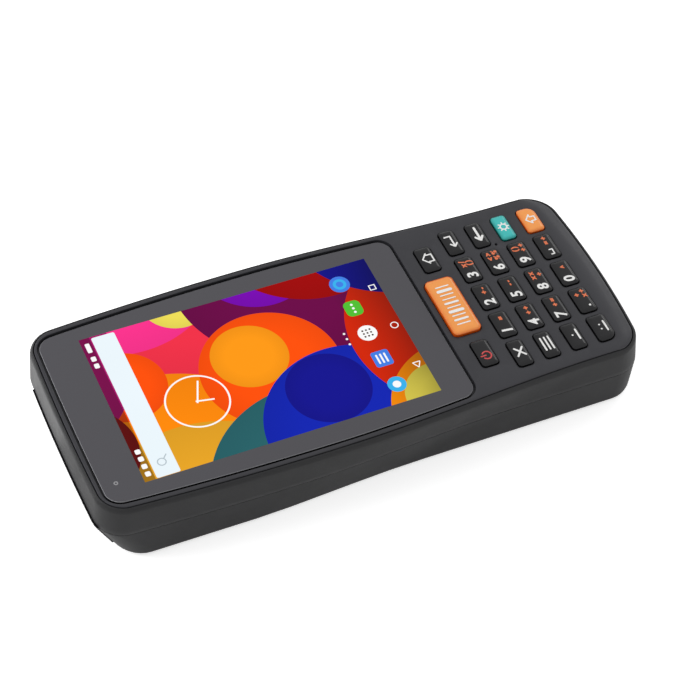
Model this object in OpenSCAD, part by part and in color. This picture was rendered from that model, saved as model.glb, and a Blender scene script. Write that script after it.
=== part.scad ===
// Portable barcode data terminal, lying on its back with the display up.
// Origin: centre of the footprint, on the plane under the rubber feet.
// +X runs to the user's right, +Y runs to the scanner end, +Z runs out of the display.

/* [Body outline] */
// Overall distance from the keypad end to the scanner end face
body_len = 165.9; // [150:0.1:180]
// Body width at the grip, across the keypad
grip_w = 64; // [57:0.1:70]
// Body width at its widest, beside the display
belly_w = 70.2; // [63:0.1:77]
// Distance from the scanner end to the body's widest place
belly_in = 70; // [62:0.1:77]
// Distance from the keypad end to the place where the sides begin to flare
waist_in = 18; // [14:0.1:24]
// Corner radius of the body in plan
corner_r = 8; // [7:0.25:11]
// How far the scanner end bows out at its middle
tip_bow = 0.8; // [0:0.1:1.5]
// How far the keypad end bows out at its middle
tail_bow = 2; // [0:0.1:2.4]
// Lean of the scanner end face below the seam, in degrees from upright
bevel_deg = 26; // [10:1:32]

/* [Layers, from the feet up] */
// How far the rubber feet stand below the rear shell
foot_proud = 0.6; // [0.4:0.1:1]
// Thickness of the battery cover
cover_t = 1.5; // [1.2:0.1:1.8]
// Thickness of the battery pack
battery_t = 7; // [5:0.1:9]
// Thickness of the battery bay's roof
roof_t = 1.2; // [1:0.1:1.5]
// Thickness of the main board
board_t = 1.2; // [0.8:0.1:1.6]
// Height of the parting seam above the underside of the main board
seam_lift = 0.7; // [0.4:0.1:1]
// Free height between the main board and the inner plate
parts_h = 4.7; // [4:0.1:6]
// Thickness of the inner plate
plate_t = 1.2; // [0.8:0.1:1.6]
// Thickness of the display module
screen_t = 3.4; // [3:0.1:4]
// Thickness of the cover glass
glass_t = 1; // [0.7:0.1:1.2]
// How far the cover glass lies below the keypad face
glass_sink = 0.25; // [0.1:0.05:0.5]
// Height of the rounding between the frame's widest line and the keypad face
rim_h = 1.9; // [1.4:0.1:2.4]

/* [Walls] */
// Wall thickness of the rear shell and the frame
wall = 2; // [1.6:0.1:2.2]
// Thickness of the front panel over the keypad
panel_t = 1.4; // [1.2:0.1:1.6]
// Gap that shows between the front panel and the frame
panel_gap = 0.25; // [0.15:0.05:0.4]
// Distance from the frame's widest line to the gap round the front panel
groove_in = 1.05; // [0.8:0.05:1.3]
// Thickness of the front panel's skirt
skirt_t = 1.6; // [1.2:0.1:1.8]
// Height of the tongue that locates the frame on the rear shell
tongue_h = 1.2; // [0.8:0.1:1.5]
// Radius of the rounding along the rear shell's lower edge
heel_r = 1.6; // [1:0.1:3]
// Width of the rounding along the frame's upper edge
rim_w = 1.7; // [1.2:0.1:2]
// Length of the soft slope at the keypad end
apron_len = 5.4; // [3:0.1:7]
// Clearance between parts that drop into each other
fit_gap = 0.1; // [0.05:0.05:0.2]

/* [Display] */
// Distance from the scanner end to the glass
glass_tip_in = 3.6; // [3:0.1:6]
// Distance from the frame's widest line to the side of the glass
glass_in = 3.15; // [2.8:0.05:3.5]
// Gap round the cover glass
glass_gap = 0.45; // [0.2:0.05:0.6]
// Thickness of the adhesive under the glass
tape_t = 0.15; // [0.1:0.05:0.3]
// Border of the glass beside the display module, where the glass is narrowest
screen_side_in = 1.15; // [1:0.05:3]
// Border of the glass past the display module at the scanner end
screen_tip_in = 6.8; // [5:0.1:9]
// Border of the glass past the display module at the keypad end
screen_tail_in = 4.8; // [3:0.1:7]

/* [Keypad] */
// Distance from the keypad end to the last row of keys
pad_tail_in = 10; // [9:0.1:12]
// Distance from the side of the grip to the outer keys
pad_side_in = 5.3; // [4.6:0.05:6.5]
// Space between neighbouring key caps, across the body
key_space = 1.8; // [1.2:0.1:2.6]
// Key pitch along the body
key_py = 8.5; // [8:0.1:9.5]
// Height of the key caps in the middle columns
wide_h = 5.1; // [4.4:0.1:5.8]
// Height of the key caps in the outer columns
side_h = 4.6; // [4:0.1:5.4]
// Height of the two outer key caps in the last row
corner_h = 5.4; // [4.8:0.1:6]
// Distance from the upper edge of the first full row to that of the power and home keys
head_rise = 9.5; // [9:0.1:11]
// How far the power and home keys stand in from the outer columns
head_in = 3.5; // [2.5:0.1:3.9]
// Height of the power and home keys
head_h = 5; // [4.4:0.1:5.6]
// Width of the scan key
scan_w = 21; // [18:0.1:23]
// Height of the scan key
scan_h = 8.6; // [7.6:0.1:9.4]
// How far the scan key's upper edge lies above that of the power and home keys
scan_rise = 2.7; // [1:0.1:3.6]
// Distance from the scan key to the glass
scan_glass_gap = 2.45; // [2.2:0.05:4]
// How far an ordinary key stands above the keypad face
key_proud = 0.85; // [0.5:0.05:1.2]
// How much further the scan key stands out
scan_extra = 0.3; // [0:0.05:0.5]
// Corner radius of the key caps
key_r = 1; // [0.6:0.1:1.4]
// Radius of the outer corner of the two keys nearest the body's corners
key_corner_r = 2.6; // [1:0.1:3]
// Clearance round each key cap
key_gap = 0.25; // [0.15:0.05:0.3]
// Travel of each key
key_travel = 0.5; // [0.3:0.05:0.55]
// Width of the retaining flange round each key, under the front panel
flange_w = 0.6; // [0.4:0.05:0.65]

/* [Battery and cover] */
// Distance from the side of the grip to the battery pack
battery_side_in = 9.1; // [8.5:0.1:12]
// Length of the battery pack
battery_len = 69; // [60:0.5:80]
// Distance from the keypad end to the battery bay
bay_tail_in = 9.8; // [9:0.1:12]
// How far the cover laps over each side of the battery pack
cover_lap = 1.7; // [1.2:0.1:2]
// How far the cover reaches past the battery bay towards the scanner end
cover_reach = 11.2; // [9:0.1:14]
// Width of the rails along the cover's sides
rail_w = 0.9; // [0.6:0.1:1.1]
// Thickness of those rails
rail_t = 0.7; // [0.5:0.1:0.9]

/* [Scanner and camera] */
// How far the scan window reaches to the left of the middle
window_left = 27.8; // [20:0.1:30]
// How far the scan window reaches to the right of the middle
window_right = 22.5; // [16:0.1:26]
// How far the scan window stands proud of the body
window_proud = 0.45; // [0.2:0.05:0.8]
// Thickness of the scan window behind the body's surface
window_t = 1.1; // [0.8:0.1:1.3]
// Height of the scan window's lower edge above the feet
window_z0 = 3.8; // [3.4:0.1:5]
// Width of the scan engine
engine_w = 21; // [18:0.5:24]
// Length of the scan engine
engine_len = 12.6; // [10:0.1:14]
// Radius of the camera's lens cover
camera_r = 4.6; // [4:0.1:5.2]

/* [Port flap] */
// Width of the rubber flap over the charging port
flap_w = 17; // [15:0.5:20]
// Height of the rubber flap
flap_h = 5.6; // [5:0.1:6.2]
// Thickness of the rubber flap
flap_t = 1.2; // [1:0.1:1.4]

/* [Fasteners and feet] */
// Shank diameter of the case screws
screw_d = 1.9; // [1.6:0.1:2.2]
// Head diameter of the case screws
head_d = 3.6; // [3:0.1:4]
// Head height of the case screws
head_t = 1.1; // [0.8:0.1:1.4]
// Length of each rubber foot
foot_len = 6; // [4:0.5:8]
// Width of each rubber foot
foot_w = 2.6; // [2:0.1:3]

/* [Hidden] */
eps = 0.02;
far = 300;

// Ends of the body
tail_y = -(body_len + window_proud) / 2;
tip_y = tail_y + body_len;
belly_y = tip_y - belly_in;
waist_y = tail_y + waist_in;

// How far the side lies further in, and its stations further towards the tip, at its foot
belly_lean = 1.8;
grip_lean = 0.6;
belly_shift = 27;
waist_shift = 54;

// Heights, from the feet up
floor_z = foot_proud;
inner_z = floor_z + wall;
low_z = floor_z + heel_r;
cover_top_z = floor_z + cover_t;
rest_z = cover_top_z + fit_gap;
battery_z = cover_top_z + 0.3;
bay_roof = battery_z + battery_t + 0.5;
board_z = bay_roof + roof_t + 0.8;
board_top = board_z + board_t;
seam_z = board_z + seam_lift;
bevel_z = seam_z - 0.4;
plate_z = board_top + parts_h;
deck_z = plate_z + plate_t;
screen_top = deck_z + screen_t;
glass_z = screen_top + 0.05;
glass_floor_z = glass_z - tape_t;
glass_top = glass_z + glass_t;
face_z = glass_top + glass_sink;
crease_z = face_z - rim_h;
ledge_z = crease_z - 1.2;
panel_under = face_z - panel_t;
shelf_t = 1.1;

// Keypad stack
pad_board_t = 1;
pad_board_z = deck_z + pad_board_t;
dome_h = 0.35;
mat_top = pad_board_z + 0.8;
flange_t = 0.8;
flange_top = panel_under - fit_gap;
flange_z = flange_top - flange_t;
stem_z = pad_board_z + dome_h + key_travel + 0.05;
stem_r = 1.1;
crown_h = 0.45;
crown_in = 0.5;

// Keypad plan
pad_half = grip_w / 2 - pad_side_in;
key_w = (2 * pad_half - 4 * key_space) / 5;
key_px = key_w + key_space;
row_y = tail_y + pad_tail_in + corner_h + 3 * key_py;
head_x = pad_half - head_in - key_w / 2;
head_y = row_y + head_rise;
scan_y = head_y + scan_rise;
mic_xy = [1.5 * key_px + 0.7, row_y - 2 * key_py + 2.4];
mic_size = [3.4, 2];

// Glass and display plan
glass_y0 = scan_y + scan_glass_gap;
glass_y1 = tip_y - glass_tip_in;
pad_top_y = glass_y0 - glass_gap - 1.1;
screen_y0 = glass_y0 + screen_tail_in;
screen_y1 = glass_y1 - screen_tip_in;
screen_y = (screen_y0 + screen_y1) / 2;
screen_len = screen_y1 - screen_y0;
screen_w = 2 * (min(glass_side(glass_y0, 0), glass_side(screen_y1, 0)) - screen_side_in);
sensor_xy = [-screen_w / 2 + 5.5, glass_y1 - 4];
sensor_r = 1.1;

// Battery bay and cover plan
battery_w = grip_w - 2 * battery_side_in;
battery_gap = 0.5;
bay_w = battery_w + 2 * battery_gap;
bay_wall = 1.7;
bay_y0 = tail_y + bay_tail_in;
bay_y1 = bay_y0 + battery_len + 0.8;
battery_y1 = bay_y1 - 0.35;
cover_w = battery_w + 2 * cover_lap;
cover_top_y = bay_y1 + cover_reach;
rail_z = floor_z + 0.5;

// Screw bosses along the sides
boss_r = head_d / 2 + 0.8;
boss_in = 5.5;
function boss_x(y) = half_w(low_z, y) - boss_in;
side_screw_tip_in = 26.4;
side_screw_cover_gap = 7;
side_screws_y = [tip_y - side_screw_tip_in, cover_top_y + side_screw_cover_gap];
tail_screw_side_in = 11.8;
tail_screw_in = 5.4;

// Scanner, camera and speaker, which keep clear of those bosses
window_w = window_left + window_right;
engine_x = (window_right - window_left) / 2;
engine_y = tip_y - 17;
engine_z0 = inner_z + 0.6;
engine_z1 = seam_z - 0.2;
lens_z = (engine_z0 + engine_z1) / 2 - 0.2;
bracket_t = 1;
bracket_w = engine_w + 3;
camera_tip_in = 28.4;
camera_y = tip_y - camera_tip_in;
camera_size = 8.6;
camera_xy = [boss_x(camera_y) - camera_size, camera_y];
flash_xy = camera_xy - [0, 11];
speaker_size = [17, 15];
speaker_tip_in = 46;
speaker_y = tip_y - speaker_tip_in;
speaker_xy = [speaker_size[0] / 2 + 4 - boss_x(speaker_y), speaker_y];
antenna_size = [24, 10];
slot_pitch = 2.4;
flash_r = 1.9;

// Main board
board_w = 2 * min(bay_w / 2 + bay_wall - 0.6, min([for (y = side_screws_y) boss_x(y)]) - boss_r - 0.4);
board_y0 = bay_y0 + 3;
board_y1 = engine_y - engine_len / 2 - 3;
board_tab = [28, 9];

// Charging port and its flap
port_z = board_z - 1.55;
socket_w = 9;
socket_h = 2.9;
socket_wall = 0.3;
socket_len = 6.6;
socket_y = tail_y + flap_t + 0.3;
flap_z = seam_z - 0.3 - flap_h / 2;
hinge_x = -flap_w / 2 - 0.7;
hinge_y = tail_y + 0.65;
hinge_r = 0.6;
knuckle_z = 1.2;

// Fasteners and feet: places of one side, or lists of both sides
tail_screw = [grip_w / 2 - tail_screw_side_in, tail_y + tail_screw_in];
case_screws_xy = concat(
    [for (y = side_screws_y, s = [1, -1]) [s * boss_x(y), y]],
    [for (s = [1, -1]) [s * tail_screw[0], tail_screw[1]]]);
board_post_in = 4;
board_post_tip_in = 34.4;
board_post_bay_gap = 6.2;
board_posts_y = [tip_y - board_post_tip_in, bay_y1 + board_post_bay_gap];
board_posts_xy = [for (y = board_posts_y, s = [1, -1]) [s * (board_w / 2 - board_post_in), y]];
pad_screw_in = 6.2;
pad_screw_tail_in = 8.2;
pad_screws_xy = concat(
    [for (s = [1, -1]) [s * (half_w(crease_z, scan_y) - pad_screw_in), scan_y - 1]],
    [for (s = [1, -1]) [s * 1.5 * key_px, tail_y + pad_screw_tail_in]]);
board_screw_r = 0.7;
board_head_r = 1.4;
feet_xy = concat(
    [for (s = [1, -1]) [s * (belly_w / 2 - 7.9), tip_y - 15]],
    [for (s = [1, -1]) [s * (cover_w / 2 + 3.2), tail_y + 15.8]]);

// Height of the shoulder that a case screw's head bears on: the last pair hides under the cover
function head_seat(p) = (p[1] > bay_y0 ? floor_z + 0.3 : rest_z + 0.2) + head_t;

black = "#2b2b2c";
orange = "#f37a2a";
teal = "#1fa093";

// name, middle x, upper edge y, width, height, corner radius, colour
KEYS = concat(
    [["power", -head_x, head_y, key_w, head_h, key_r, black],
     ["scan", 0, scan_y, scan_w, scan_h, 1.5 * key_r, orange],
     ["home", head_x, head_y, key_w, head_h, key_r, black]],
    pad_row(0, ["escape", "1", "2", "3", "enter"], side_h),
    pad_row(1, ["menu", "4", "5", "6", "back"], side_h),
    pad_row(2, ["f1", "7", "8", "9", "function"], side_h),
    pad_row(3, ["f2", "point", "0", "space", "shift"], corner_h));

function pad_row(row, names, outer_h) = [for (i = [0 : 4])
    [names[i], (i - 2) * key_px, row_y - row * key_py, key_w, i % 4 == 0 ? outer_h : wide_h, key_r,
     names[i] == "function" ? teal : names[i] == "shift" ? orange : black]];

KEY_NODES = [for (k = KEYS) str("key_", k[0])];

// ---- Body skin: one lofted surface that the shells, the cover and the window share ----

function smooth(t) = t <= 0 ? 0 : t >= 1 ? 1 : t * t * (3 - 2 * t);

function belly_at(z) = belly_w / 2 - lookup(z, [[low_z, belly_lean], [crease_z, 0]]);
function grip_at(z) = grip_w / 2 - lookup(z, [[low_z, grip_lean], [crease_z, 0]]);
function belly_y_at(z) = belly_y + lookup(z, [[low_z, belly_shift], [crease_z, 0]]);
function waist_y_at(z) = waist_y + lookup(z, [[low_z, waist_shift], [crease_z, 0]]);
function drop_at(z) = lookup(z, [[low_z, 0.4], [crease_z, 2.6]]);
function tip_at(z) = z < bevel_z ? tip_y - (bevel_z - z) * tan(bevel_deg)
                                 : tip_y - lookup(z, [[seam_z, 0], [crease_z, 0.3]]);
function tail_at(z) = tail_y + lookup(z, [[seam_z, 0], [crease_z, 1.7]]);

// Half width of the body at height z and station y
function half_w(z, y) = y < belly_y_at(z)
    ? grip_at(z) + (belly_at(z) - grip_at(z)) * smooth((y - waist_y_at(z)) / (belly_y_at(z) - waist_y_at(z)))
    : belly_at(z) - drop_at(z) * pow((y - belly_y_at(z)) / (tip_y - belly_y_at(z)), 2);

// How far the rounded lower and upper edges draw in at height z, for a rounding of width w on top
function arc_in(u) = 1 - sqrt(max(0, 1 - u * u));
function edge_in(z, w) = z < low_z ? heel_r * arc_in((low_z - z) / heel_r)
    : z > crease_z ? w * arc_in((z - crease_z) / (face_z - crease_z)) : 0;

corner_steps = 8;
side_steps = 14;
end_steps = 4;

// Right half of the plan outline at height z, drawn in by d, from the tail round to the tip
function half_ring(z, d) =
    let (side_in = edge_in(z, rim_w) + d,
         y0 = tail_at(z) + edge_in(z, apron_len) + d,
         y1 = tip_at(z) - side_in,
         r = max(0.6, corner_r - side_in),
         yb = y0 + tail_bow + r,
         yt = y1 - tip_bow - r,
         wb = half_w(z, yb) - side_in,
         wt = half_w(z, yt) - side_in)
    concat(
        [for (i = [0 : end_steps - 1])
            let (x = (wb - r) * i / end_steps)
            [x, y0 + tail_bow * pow(x / wb, 2), z]],
        [for (i = [0 : corner_steps])
            let (a = -90 + 90 * i / corner_steps, x = wb - r + r * cos(a))
            [x, yb + r * sin(a) + tail_bow * (1 - pow(x / wb, 2)) * sin(a), z]],
        [for (i = [1 : side_steps - 1])
            let (y = yb + (yt - yb) * i / side_steps)
            [half_w(z, y) - side_in, y, z]],
        [for (i = [0 : corner_steps])
            let (a = 90 * i / corner_steps, x = wt - r + r * cos(a))
            [x, yt + r * sin(a) + tip_bow * (1 - pow(x / wt, 2)) * sin(a), z]],
        [for (i = [1 : end_steps])
            let (x = (wt - r) * (1 - i / end_steps))
            [x, y1 - tip_bow * pow(x / wt, 2), z]]);

function ring(z, d) =
    let (h = half_ring(z, d), n = len(h))
    concat(h, [for (i = [n - 2 : -1 : 1]) [-h[i][0], h[i][1], h[i][2]]]);

function flat(points) = [for (p = points) [p[0], p[1]]];

// Solid through a stack of rings that all have as many points
module loft(rings) {
    n = len(rings[0]);
    m = len(rings);
    polyhedron(
        points = [for (r = rings) each r],
        faces = concat(
            [[for (j = [0 : n - 1]) j]],
            [[for (j = [n - 1 : -1 : 0]) (m - 1) * n + j]],
            [for (i = [0 : m - 2], j = [0 : n - 1])
                let (k = (j + 1) % n)
                [i * n + j, (i + 1) * n + j, (i + 1) * n + k, i * n + k]]),
        convexity = 6);
}

heel_zs = [for (i = [0 : 3]) floor_z + heel_r * (1 - cos(90 * i / 3))];
side_z = (low_z + seam_z) / 2;
rear_zs = concat(heel_zs, [side_z, bevel_z, seam_z]);
rear_inner_zs = [inner_z, low_z + 1, side_z, bevel_z, seam_z + 1];
window_zs = [heel_zs[2], heel_zs[3], side_z, bevel_z, seam_z];
cover_zs = concat(heel_zs, [side_z]);
rim_zs = [for (u = [0, 0.37, 0.63, 0.84, 1]) crease_z + u * rim_h];
mid_z = (seam_z + crease_z) / 2;
frame_zs = concat([seam_z, mid_z], rim_zs);
frame_inner_zs = [seam_z - 1, seam_z, mid_z, ledge_z + eps];

// The whole skin between the listed heights, drawn in by d
module skin(zs, d = 0) {
    loft([for (z = zs) ring(z, d)]);
}

// Upright prism whose plan is the body's widest outline drawn in by d
module plug(z0, z1, d) {
    translate([0, 0, z0]) linear_extrude(z1 - z0) polygon(flat(ring(crease_z, d)));
}

// Upright prism whose plan is the seam's outline drawn in by d
module seam_plug(z0, z1, d) {
    translate([0, 0, z0]) linear_extrude(z1 - z0) polygon(flat(ring(seam_z, d)));
}

// ---- Small shared shapes ----

// Rectangle with round corners, centred
module rounded(w, h, r, fn = 32) {
    square([w - 2 * r, h], center = true);
    square([w, h - 2 * r], center = true);
    for (x = [-1, 1], y = [-1, 1]) translate([x * (w / 2 - r), y * (h / 2 - r)]) circle(r, $fn = fn);
}

// Block with upright round corners, from height z0 to z1, centred on x, y
module slab(x, y, z0, z1, w, h, r) {
    translate([x, y, z0]) linear_extrude(z1 - z0) rounded(w, h, r);
}

// Block centred on x, y, from height z0 to z1
module block(x, y, z0, z1, w, h) {
    translate([x - w / 2, y - h / 2, z0]) cube([w, h, z1 - z0]);
}

module post(xy, z0, z1, r) {
    translate([xy[0], xy[1], z0]) cylinder(h = z1 - z0, r = r, $fn = 48);
}

// ---- Glass, panel and frame ----

// Plan of the cover glass, grown by g: the body's bowed sides between two straight ends
function glass_side(y, g) = half_w(crease_z, y) - glass_in + g;
module glass_plan(g) {
    y0 = glass_y0 - g;
    y1 = glass_y1 + g;
    r0 = 4 + g;
    r1 = 3.2 + g;
    steps = 14;
    right = concat(
        [for (i = [0 : 5]) let (a = -90 + 18 * i)
            [glass_side(y0 + r0, g) - r0 + r0 * cos(a), y0 + r0 + r0 * sin(a)]],
        [for (i = [1 : steps - 1]) let (y = y0 + r0 + (y1 - y0 - r0 - r1) * i / steps)
            [glass_side(y, g), y]],
        [for (i = [0 : 5]) let (a = 18 * i)
            [glass_side(y1 - r1, g) - r1 + r1 * cos(a), y1 - r1 - 0.6 + 0.6 * i / 5 + r1 * sin(a)]]);
    n = len(right);
    polygon(concat(right, [[0, y1 + 0.3]], [for (i = [n - 1 : -1 : 0]) [-right[i][0], right[i][1]]]));
}

module glass_prism(z0, z1, g) {
    translate([0, 0, z0]) linear_extrude(z1 - z0) glass_plan(g);
}

// Plan of one key, grown by g. The two keys in the body's corners follow its rounding.
module key_plan(k, g, fn = 32) {
    side = k[0] == "shift" ? 1 : k[0] == "f2" ? -1 : 0;
    w = k[3] + 2 * g;
    h = k[4] + 2 * g;
    if (side == 0)
        rounded(w, h, k[5] + g, fn);
    else
        intersection() {
            rounded(w, h, k[5] + g, fn);
            translate([-side * w, h]) rounded(3 * w, 3 * h, key_corner_r + g, fn);
        }
}

module key_block(k, z0, z1, g) {
    translate([k[1], k[2] - k[4] / 2, z0]) linear_extrude(z1 - z0) key_plan(k, g);
}

module key_holes(z0, z1, g) {
    for (k = KEYS) key_block(k, z0, z1, g);
}

module front_panel() color("#3a3a3b") {
    inner = groove_in + panel_gap + skirt_t;
    difference() {
        intersection() {
            skin(concat([ledge_z], rim_zs));
            plug(ledge_z, face_z + 1, groove_in + panel_gap);
        }
        // hollow behind the keypad, and the opening behind the glass for the display module
        intersection() {
            plug(ledge_z - 1, panel_under, inner);
            block(0, pad_top_y + 0.1 - far / 2, ledge_z - 1, panel_under, far, far);
        }
        intersection() {
            plug(ledge_z - 1, glass_floor_z - shelf_t, inner);
            block(0, pad_top_y + 1.3 + far / 2, ledge_z - 1, glass_floor_z - shelf_t, far, far);
        }
        block(0, screen_y, ledge_z - 1, face_z, screen_w + 2 * fit_gap, screen_len + 2 * fit_gap);
        glass_prism(glass_floor_z, face_z + 1, glass_gap);
        key_holes(panel_under - 1, face_z + 1, key_gap);
        post(mic_xy, panel_under - 1, face_z + 1, 0.45);
        post(sensor_xy, ledge_z - 1, face_z, sensor_r + 0.2);
    }
}

module front_frame() color("#343435") {
    difference() {
        skin(frame_zs);
        plug(ledge_z, face_z + 1, groove_in);
        translate([0, 0, -eps]) seam_plug(seam_z, seam_z + tongue_h + fit_gap, wall - 0.9);
        skin(frame_inner_zs, wall);
    }
    difference() {
        for (p = case_screws_xy) {
            post(p, seam_z, plate_z, boss_r);
            frame_web(p);
        }
        for (p = case_screws_xy) post(p, seam_z - 1, plate_z - 1, screw_d / 2 + 0.05);
        seam_rebate();
    }
}

// Space that the rear shell's tongue takes up inside the frame
module seam_rebate() {
    difference() {
        seam_plug(seam_z - 1, seam_z + tongue_h + fit_gap, 0);
        seam_plug(seam_z - 2, seam_z + 5, wall + fit_gap);
    }
}

rib_t = 1.6;

// Distance from a case screw to the middle of the side wall beside it
function rib_len(p) = half_w(seam_z, p[1]) - wall / 2 - abs(p[0]);

// Web from a frame boss to the nearest wall
module frame_web(p) {
    side = sign(p[0]);
    if (p[1] > bay_y0)
        block(side * (abs(p[0]) + rib_len(p) / 2), p[1], seam_z + 2, plate_z, rib_len(p), rib_t);
    else
        block(p[0], p[1] - 1.6, seam_z + 2, plate_z, rib_t, 3.2);
}

// ---- Rear shell and its cover ----

module rear_shell() color("#343435") {
    difference() {
        union() {
            difference() {
                skin(rear_zs);
                skin(rear_inner_zs, wall);
            }
            intersection() {
                union() {
                    bay_body();
                    case_bosses();
                    port_land();
                }
                skin(rear_zs, 0.3);
            }
            tongue();
        }
        bay_cut();
        screw_cuts();
        window_cuts();
        port_cuts();
        rear_openings();
        foot_seats(fit_gap);
    }
}

module tongue() {
    difference() {
        seam_plug(seam_z - 1, seam_z + tongue_h, wall - 0.9 + fit_gap);
        seam_plug(seam_z - 2, seam_z + 5, wall);
        for (s = [-1, 1]) block(s * tail_screw[0], tail_screw[1] - 2, seam_z, seam_z + 5, 8, 8);
    }
}

module bay_body() {
    block(0, (bay_y0 + bay_y1) / 2, floor_z, bay_roof + roof_t,
          bay_w + 2 * bay_wall, bay_y1 - bay_y0 + 2 * bay_wall);
    block(0, (tail_y + cover_top_y + 3) / 2, floor_z, rest_z + 1.4, cover_w + 5.6,
          cover_top_y + 3 - tail_y);
}

module bay_cut() {
    block(0, (bay_y0 + bay_y1) / 2, floor_z - 1, bay_roof, bay_w, bay_y1 - bay_y0);
    // seat of the cover, with a groove along each side for its rails, open at the tail
    block(0, (tail_y - 5 + cover_top_y + fit_gap) / 2, floor_z - 1, rest_z,
          cover_w + 2 * fit_gap, cover_top_y + fit_gap - tail_y + 5);
    block(0, (tail_y - 5 + cover_top_y - 1) / 2, rail_z - fit_gap, rail_z + rail_t + fit_gap,
          cover_w + 2 * rail_w + 2 * fit_gap, cover_top_y - 1 - tail_y + 5);
    // windows for the battery contacts and the card sockets
    block(0, bay_y1 + bay_wall / 2, contact_z - 2.6, contact_z + 2.7, contact_w + 1, bay_wall + 1);
    for (s = [-1, 1])
        block(s * card_x, card_y, bay_roof - 1, bay_roof + roof_t + 1, card_size[0] + 1, card_size[1] + 1);
}

module case_bosses() {
    for (p = case_screws_xy) {
        post(p, floor_z, seam_z, boss_r);
        side = sign(p[0]);
        if (p[1] > bay_y0)
            block(side * (abs(p[0]) + rib_len(p) / 2), p[1], inner_z, seam_z, rib_len(p), rib_t);
    }
}

module screw_cuts() {
    for (p = case_screws_xy) {
        post(p, floor_z - 1, seam_z + 1, screw_d / 2 + fit_gap);
        post(p, floor_z - 1, head_seat(p), head_d / 2 + fit_gap);
    }
}

// Pocket in the wall that holds the scan window, and the way out for the scan beam
module window_cuts() {
    intersection() {
        block(engine_x, tip_y, window_z0 - fit_gap, seam_z + 1, window_w + 2 * fit_gap, 30);
        difference() {
            skin(concat(window_zs, [seam_z + 2]), -window_proud - 1);
            skin(concat(window_zs, [seam_z + 3]), window_t + fit_gap);
        }
    }
    block(engine_x, tip_y - 6, window_z0 + 1.4, bevel_z - 1.2, window_w - 12, 12);
}

module port_land() {
    block(0, tail_y + 2.2, flap_z - flap_h / 2 - 1.7, seam_z, flap_w + 8, 4.4);
}

module port_cuts() {
    // charging port, the flap's seat and the slot that holds the flap's tether
    translate([0, tail_y + 8, port_z]) rotate([90, 0, 0]) linear_extrude(20)
        rounded(socket_w + 0.4, socket_h + 0.4, socket_h / 2 + 0.15);
    block(0, tail_y + flap_t / 2 - 5, flap_z - flap_h / 2 - fit_gap, flap_z + flap_h / 2 + fit_gap,
          flap_w + 2 * fit_gap, flap_t + 10);
    block(hinge_x - 0.6, tail_y + flap_t / 2 - 4.9, flap_z - flap_h / 2 - fit_gap,
          flap_z + flap_h / 2 + fit_gap, 2.8, flap_t + 10.2);
    block(hinge_x - 1, tail_y + 2.2, flap_z - knuckle_z - fit_gap, flap_z + knuckle_z + fit_gap, 2.4, 6);
}

module rear_openings() {
    post(camera_xy, floor_z - 1, floor_z + 1, camera_r + fit_gap);
    post(camera_xy, floor_z - 1, inner_z + 1, camera_r - 1.2);
    post(flash_xy, floor_z - 1, inner_z + 1, flash_r + fit_gap);
    post(flash_xy, floor_z + 1.1, inner_z + 1, flash_r + 0.5);
    for (i = [-2 : 2])
        slab(speaker_xy[0], speaker_xy[1] + i * slot_pitch, floor_z - 1, inner_z + 1,
             speaker_size[0] - 6, 1.1, 0.5);
}

module foot_seats(g) {
    for (p = feet_xy)
        slab(p[0], p[1], floor_z - 1, floor_z + 0.5, foot_w + 2 * g, foot_len + 2 * g, 1);
}

module battery_cover() color("#343435") {
    difference() {
        union() {
            intersection() {
                skin(cover_zs);
                block(0, (tail_y - 5 + cover_top_y) / 2, floor_z, cover_top_z, cover_w,
                      cover_top_y - tail_y + 5);
            }
            for (i = [0 : 3])
                block(0, cover_top_y - 12 - i * (battery_len / 3.5), rail_z, rail_z + rail_t,
                      cover_w + 2 * rail_w, 8);
        }
        // thumb grip: a shallow dish crossed by ridges
        difference() {
            slab(0, cover_top_y - 12, floor_z - 1, floor_z + 0.6, 22, 12, 3);
            for (i = [-2 : 2])
                block(0, cover_top_y - 12 + i * 2.2, floor_z - 1, floor_z + 1, 16, 0.8);
        }
    }
}

module rubber_feet() color("#202020") {
    for (p = feet_xy) slab(p[0], p[1], 0, floor_z + 0.5, foot_w, foot_len, 1);
}

// ---- Display stack ----

module cover_glass() color("#4a4a4d") glass_prism(glass_z, glass_top, 0);

module glass_tape() color("#1c1c1c") {
    difference() {
        glass_prism(glass_floor_z, glass_z, -0.3);
        block(0, screen_y, glass_floor_z - 1, glass_z + 1, screen_w + 1.2, screen_len + 1.2);
        post(sensor_xy, glass_floor_z - 1, glass_z + 1, sensor_r + 0.2);
    }
}

module display_module() color("#1a1f52") {
    block(0, screen_y, deck_z, deck_z + 1.4, screen_w, screen_len);
    block(0, screen_y + 0.5, deck_z + 1.4, screen_top, screen_w - 1.2, screen_len - 2.4);
}

module light_sensor() color("#8a8a8a") {
    post(sensor_xy, deck_z, glass_floor_z, sensor_r);
    block(sensor_xy[0], sensor_xy[1], deck_z, deck_z + 1, 3 * sensor_r, 3 * sensor_r);
}

// ---- Inner plate and boards ----

module mid_plate() color("#9aa0a3") {
    difference() {
        union() {
            intersection() {
                plug(plate_z, deck_z, wall + 1.6);
                skin([plate_z - 1, deck_z + 1], wall + 0.4);
            }
            for (p = board_posts_xy) post(p, board_top, plate_z, 2);
        }
        for (p = board_posts_xy) post(p, board_top - 1, board_top + 2.6, board_screw_r);
        for (p = pad_screws_xy) post(p, plate_z - 1, deck_z + 1, board_screw_r);
        // slots for the two flex tails
        slab(0, (pad_top_y + screen_y0) / 2, plate_z - 1, deck_z + 1, 20, 2.4, 1);
        slab(-8, tip_y - 7.2, plate_z - 1, deck_z + 1, 14, 2, 0.9);
    }
}

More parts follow.
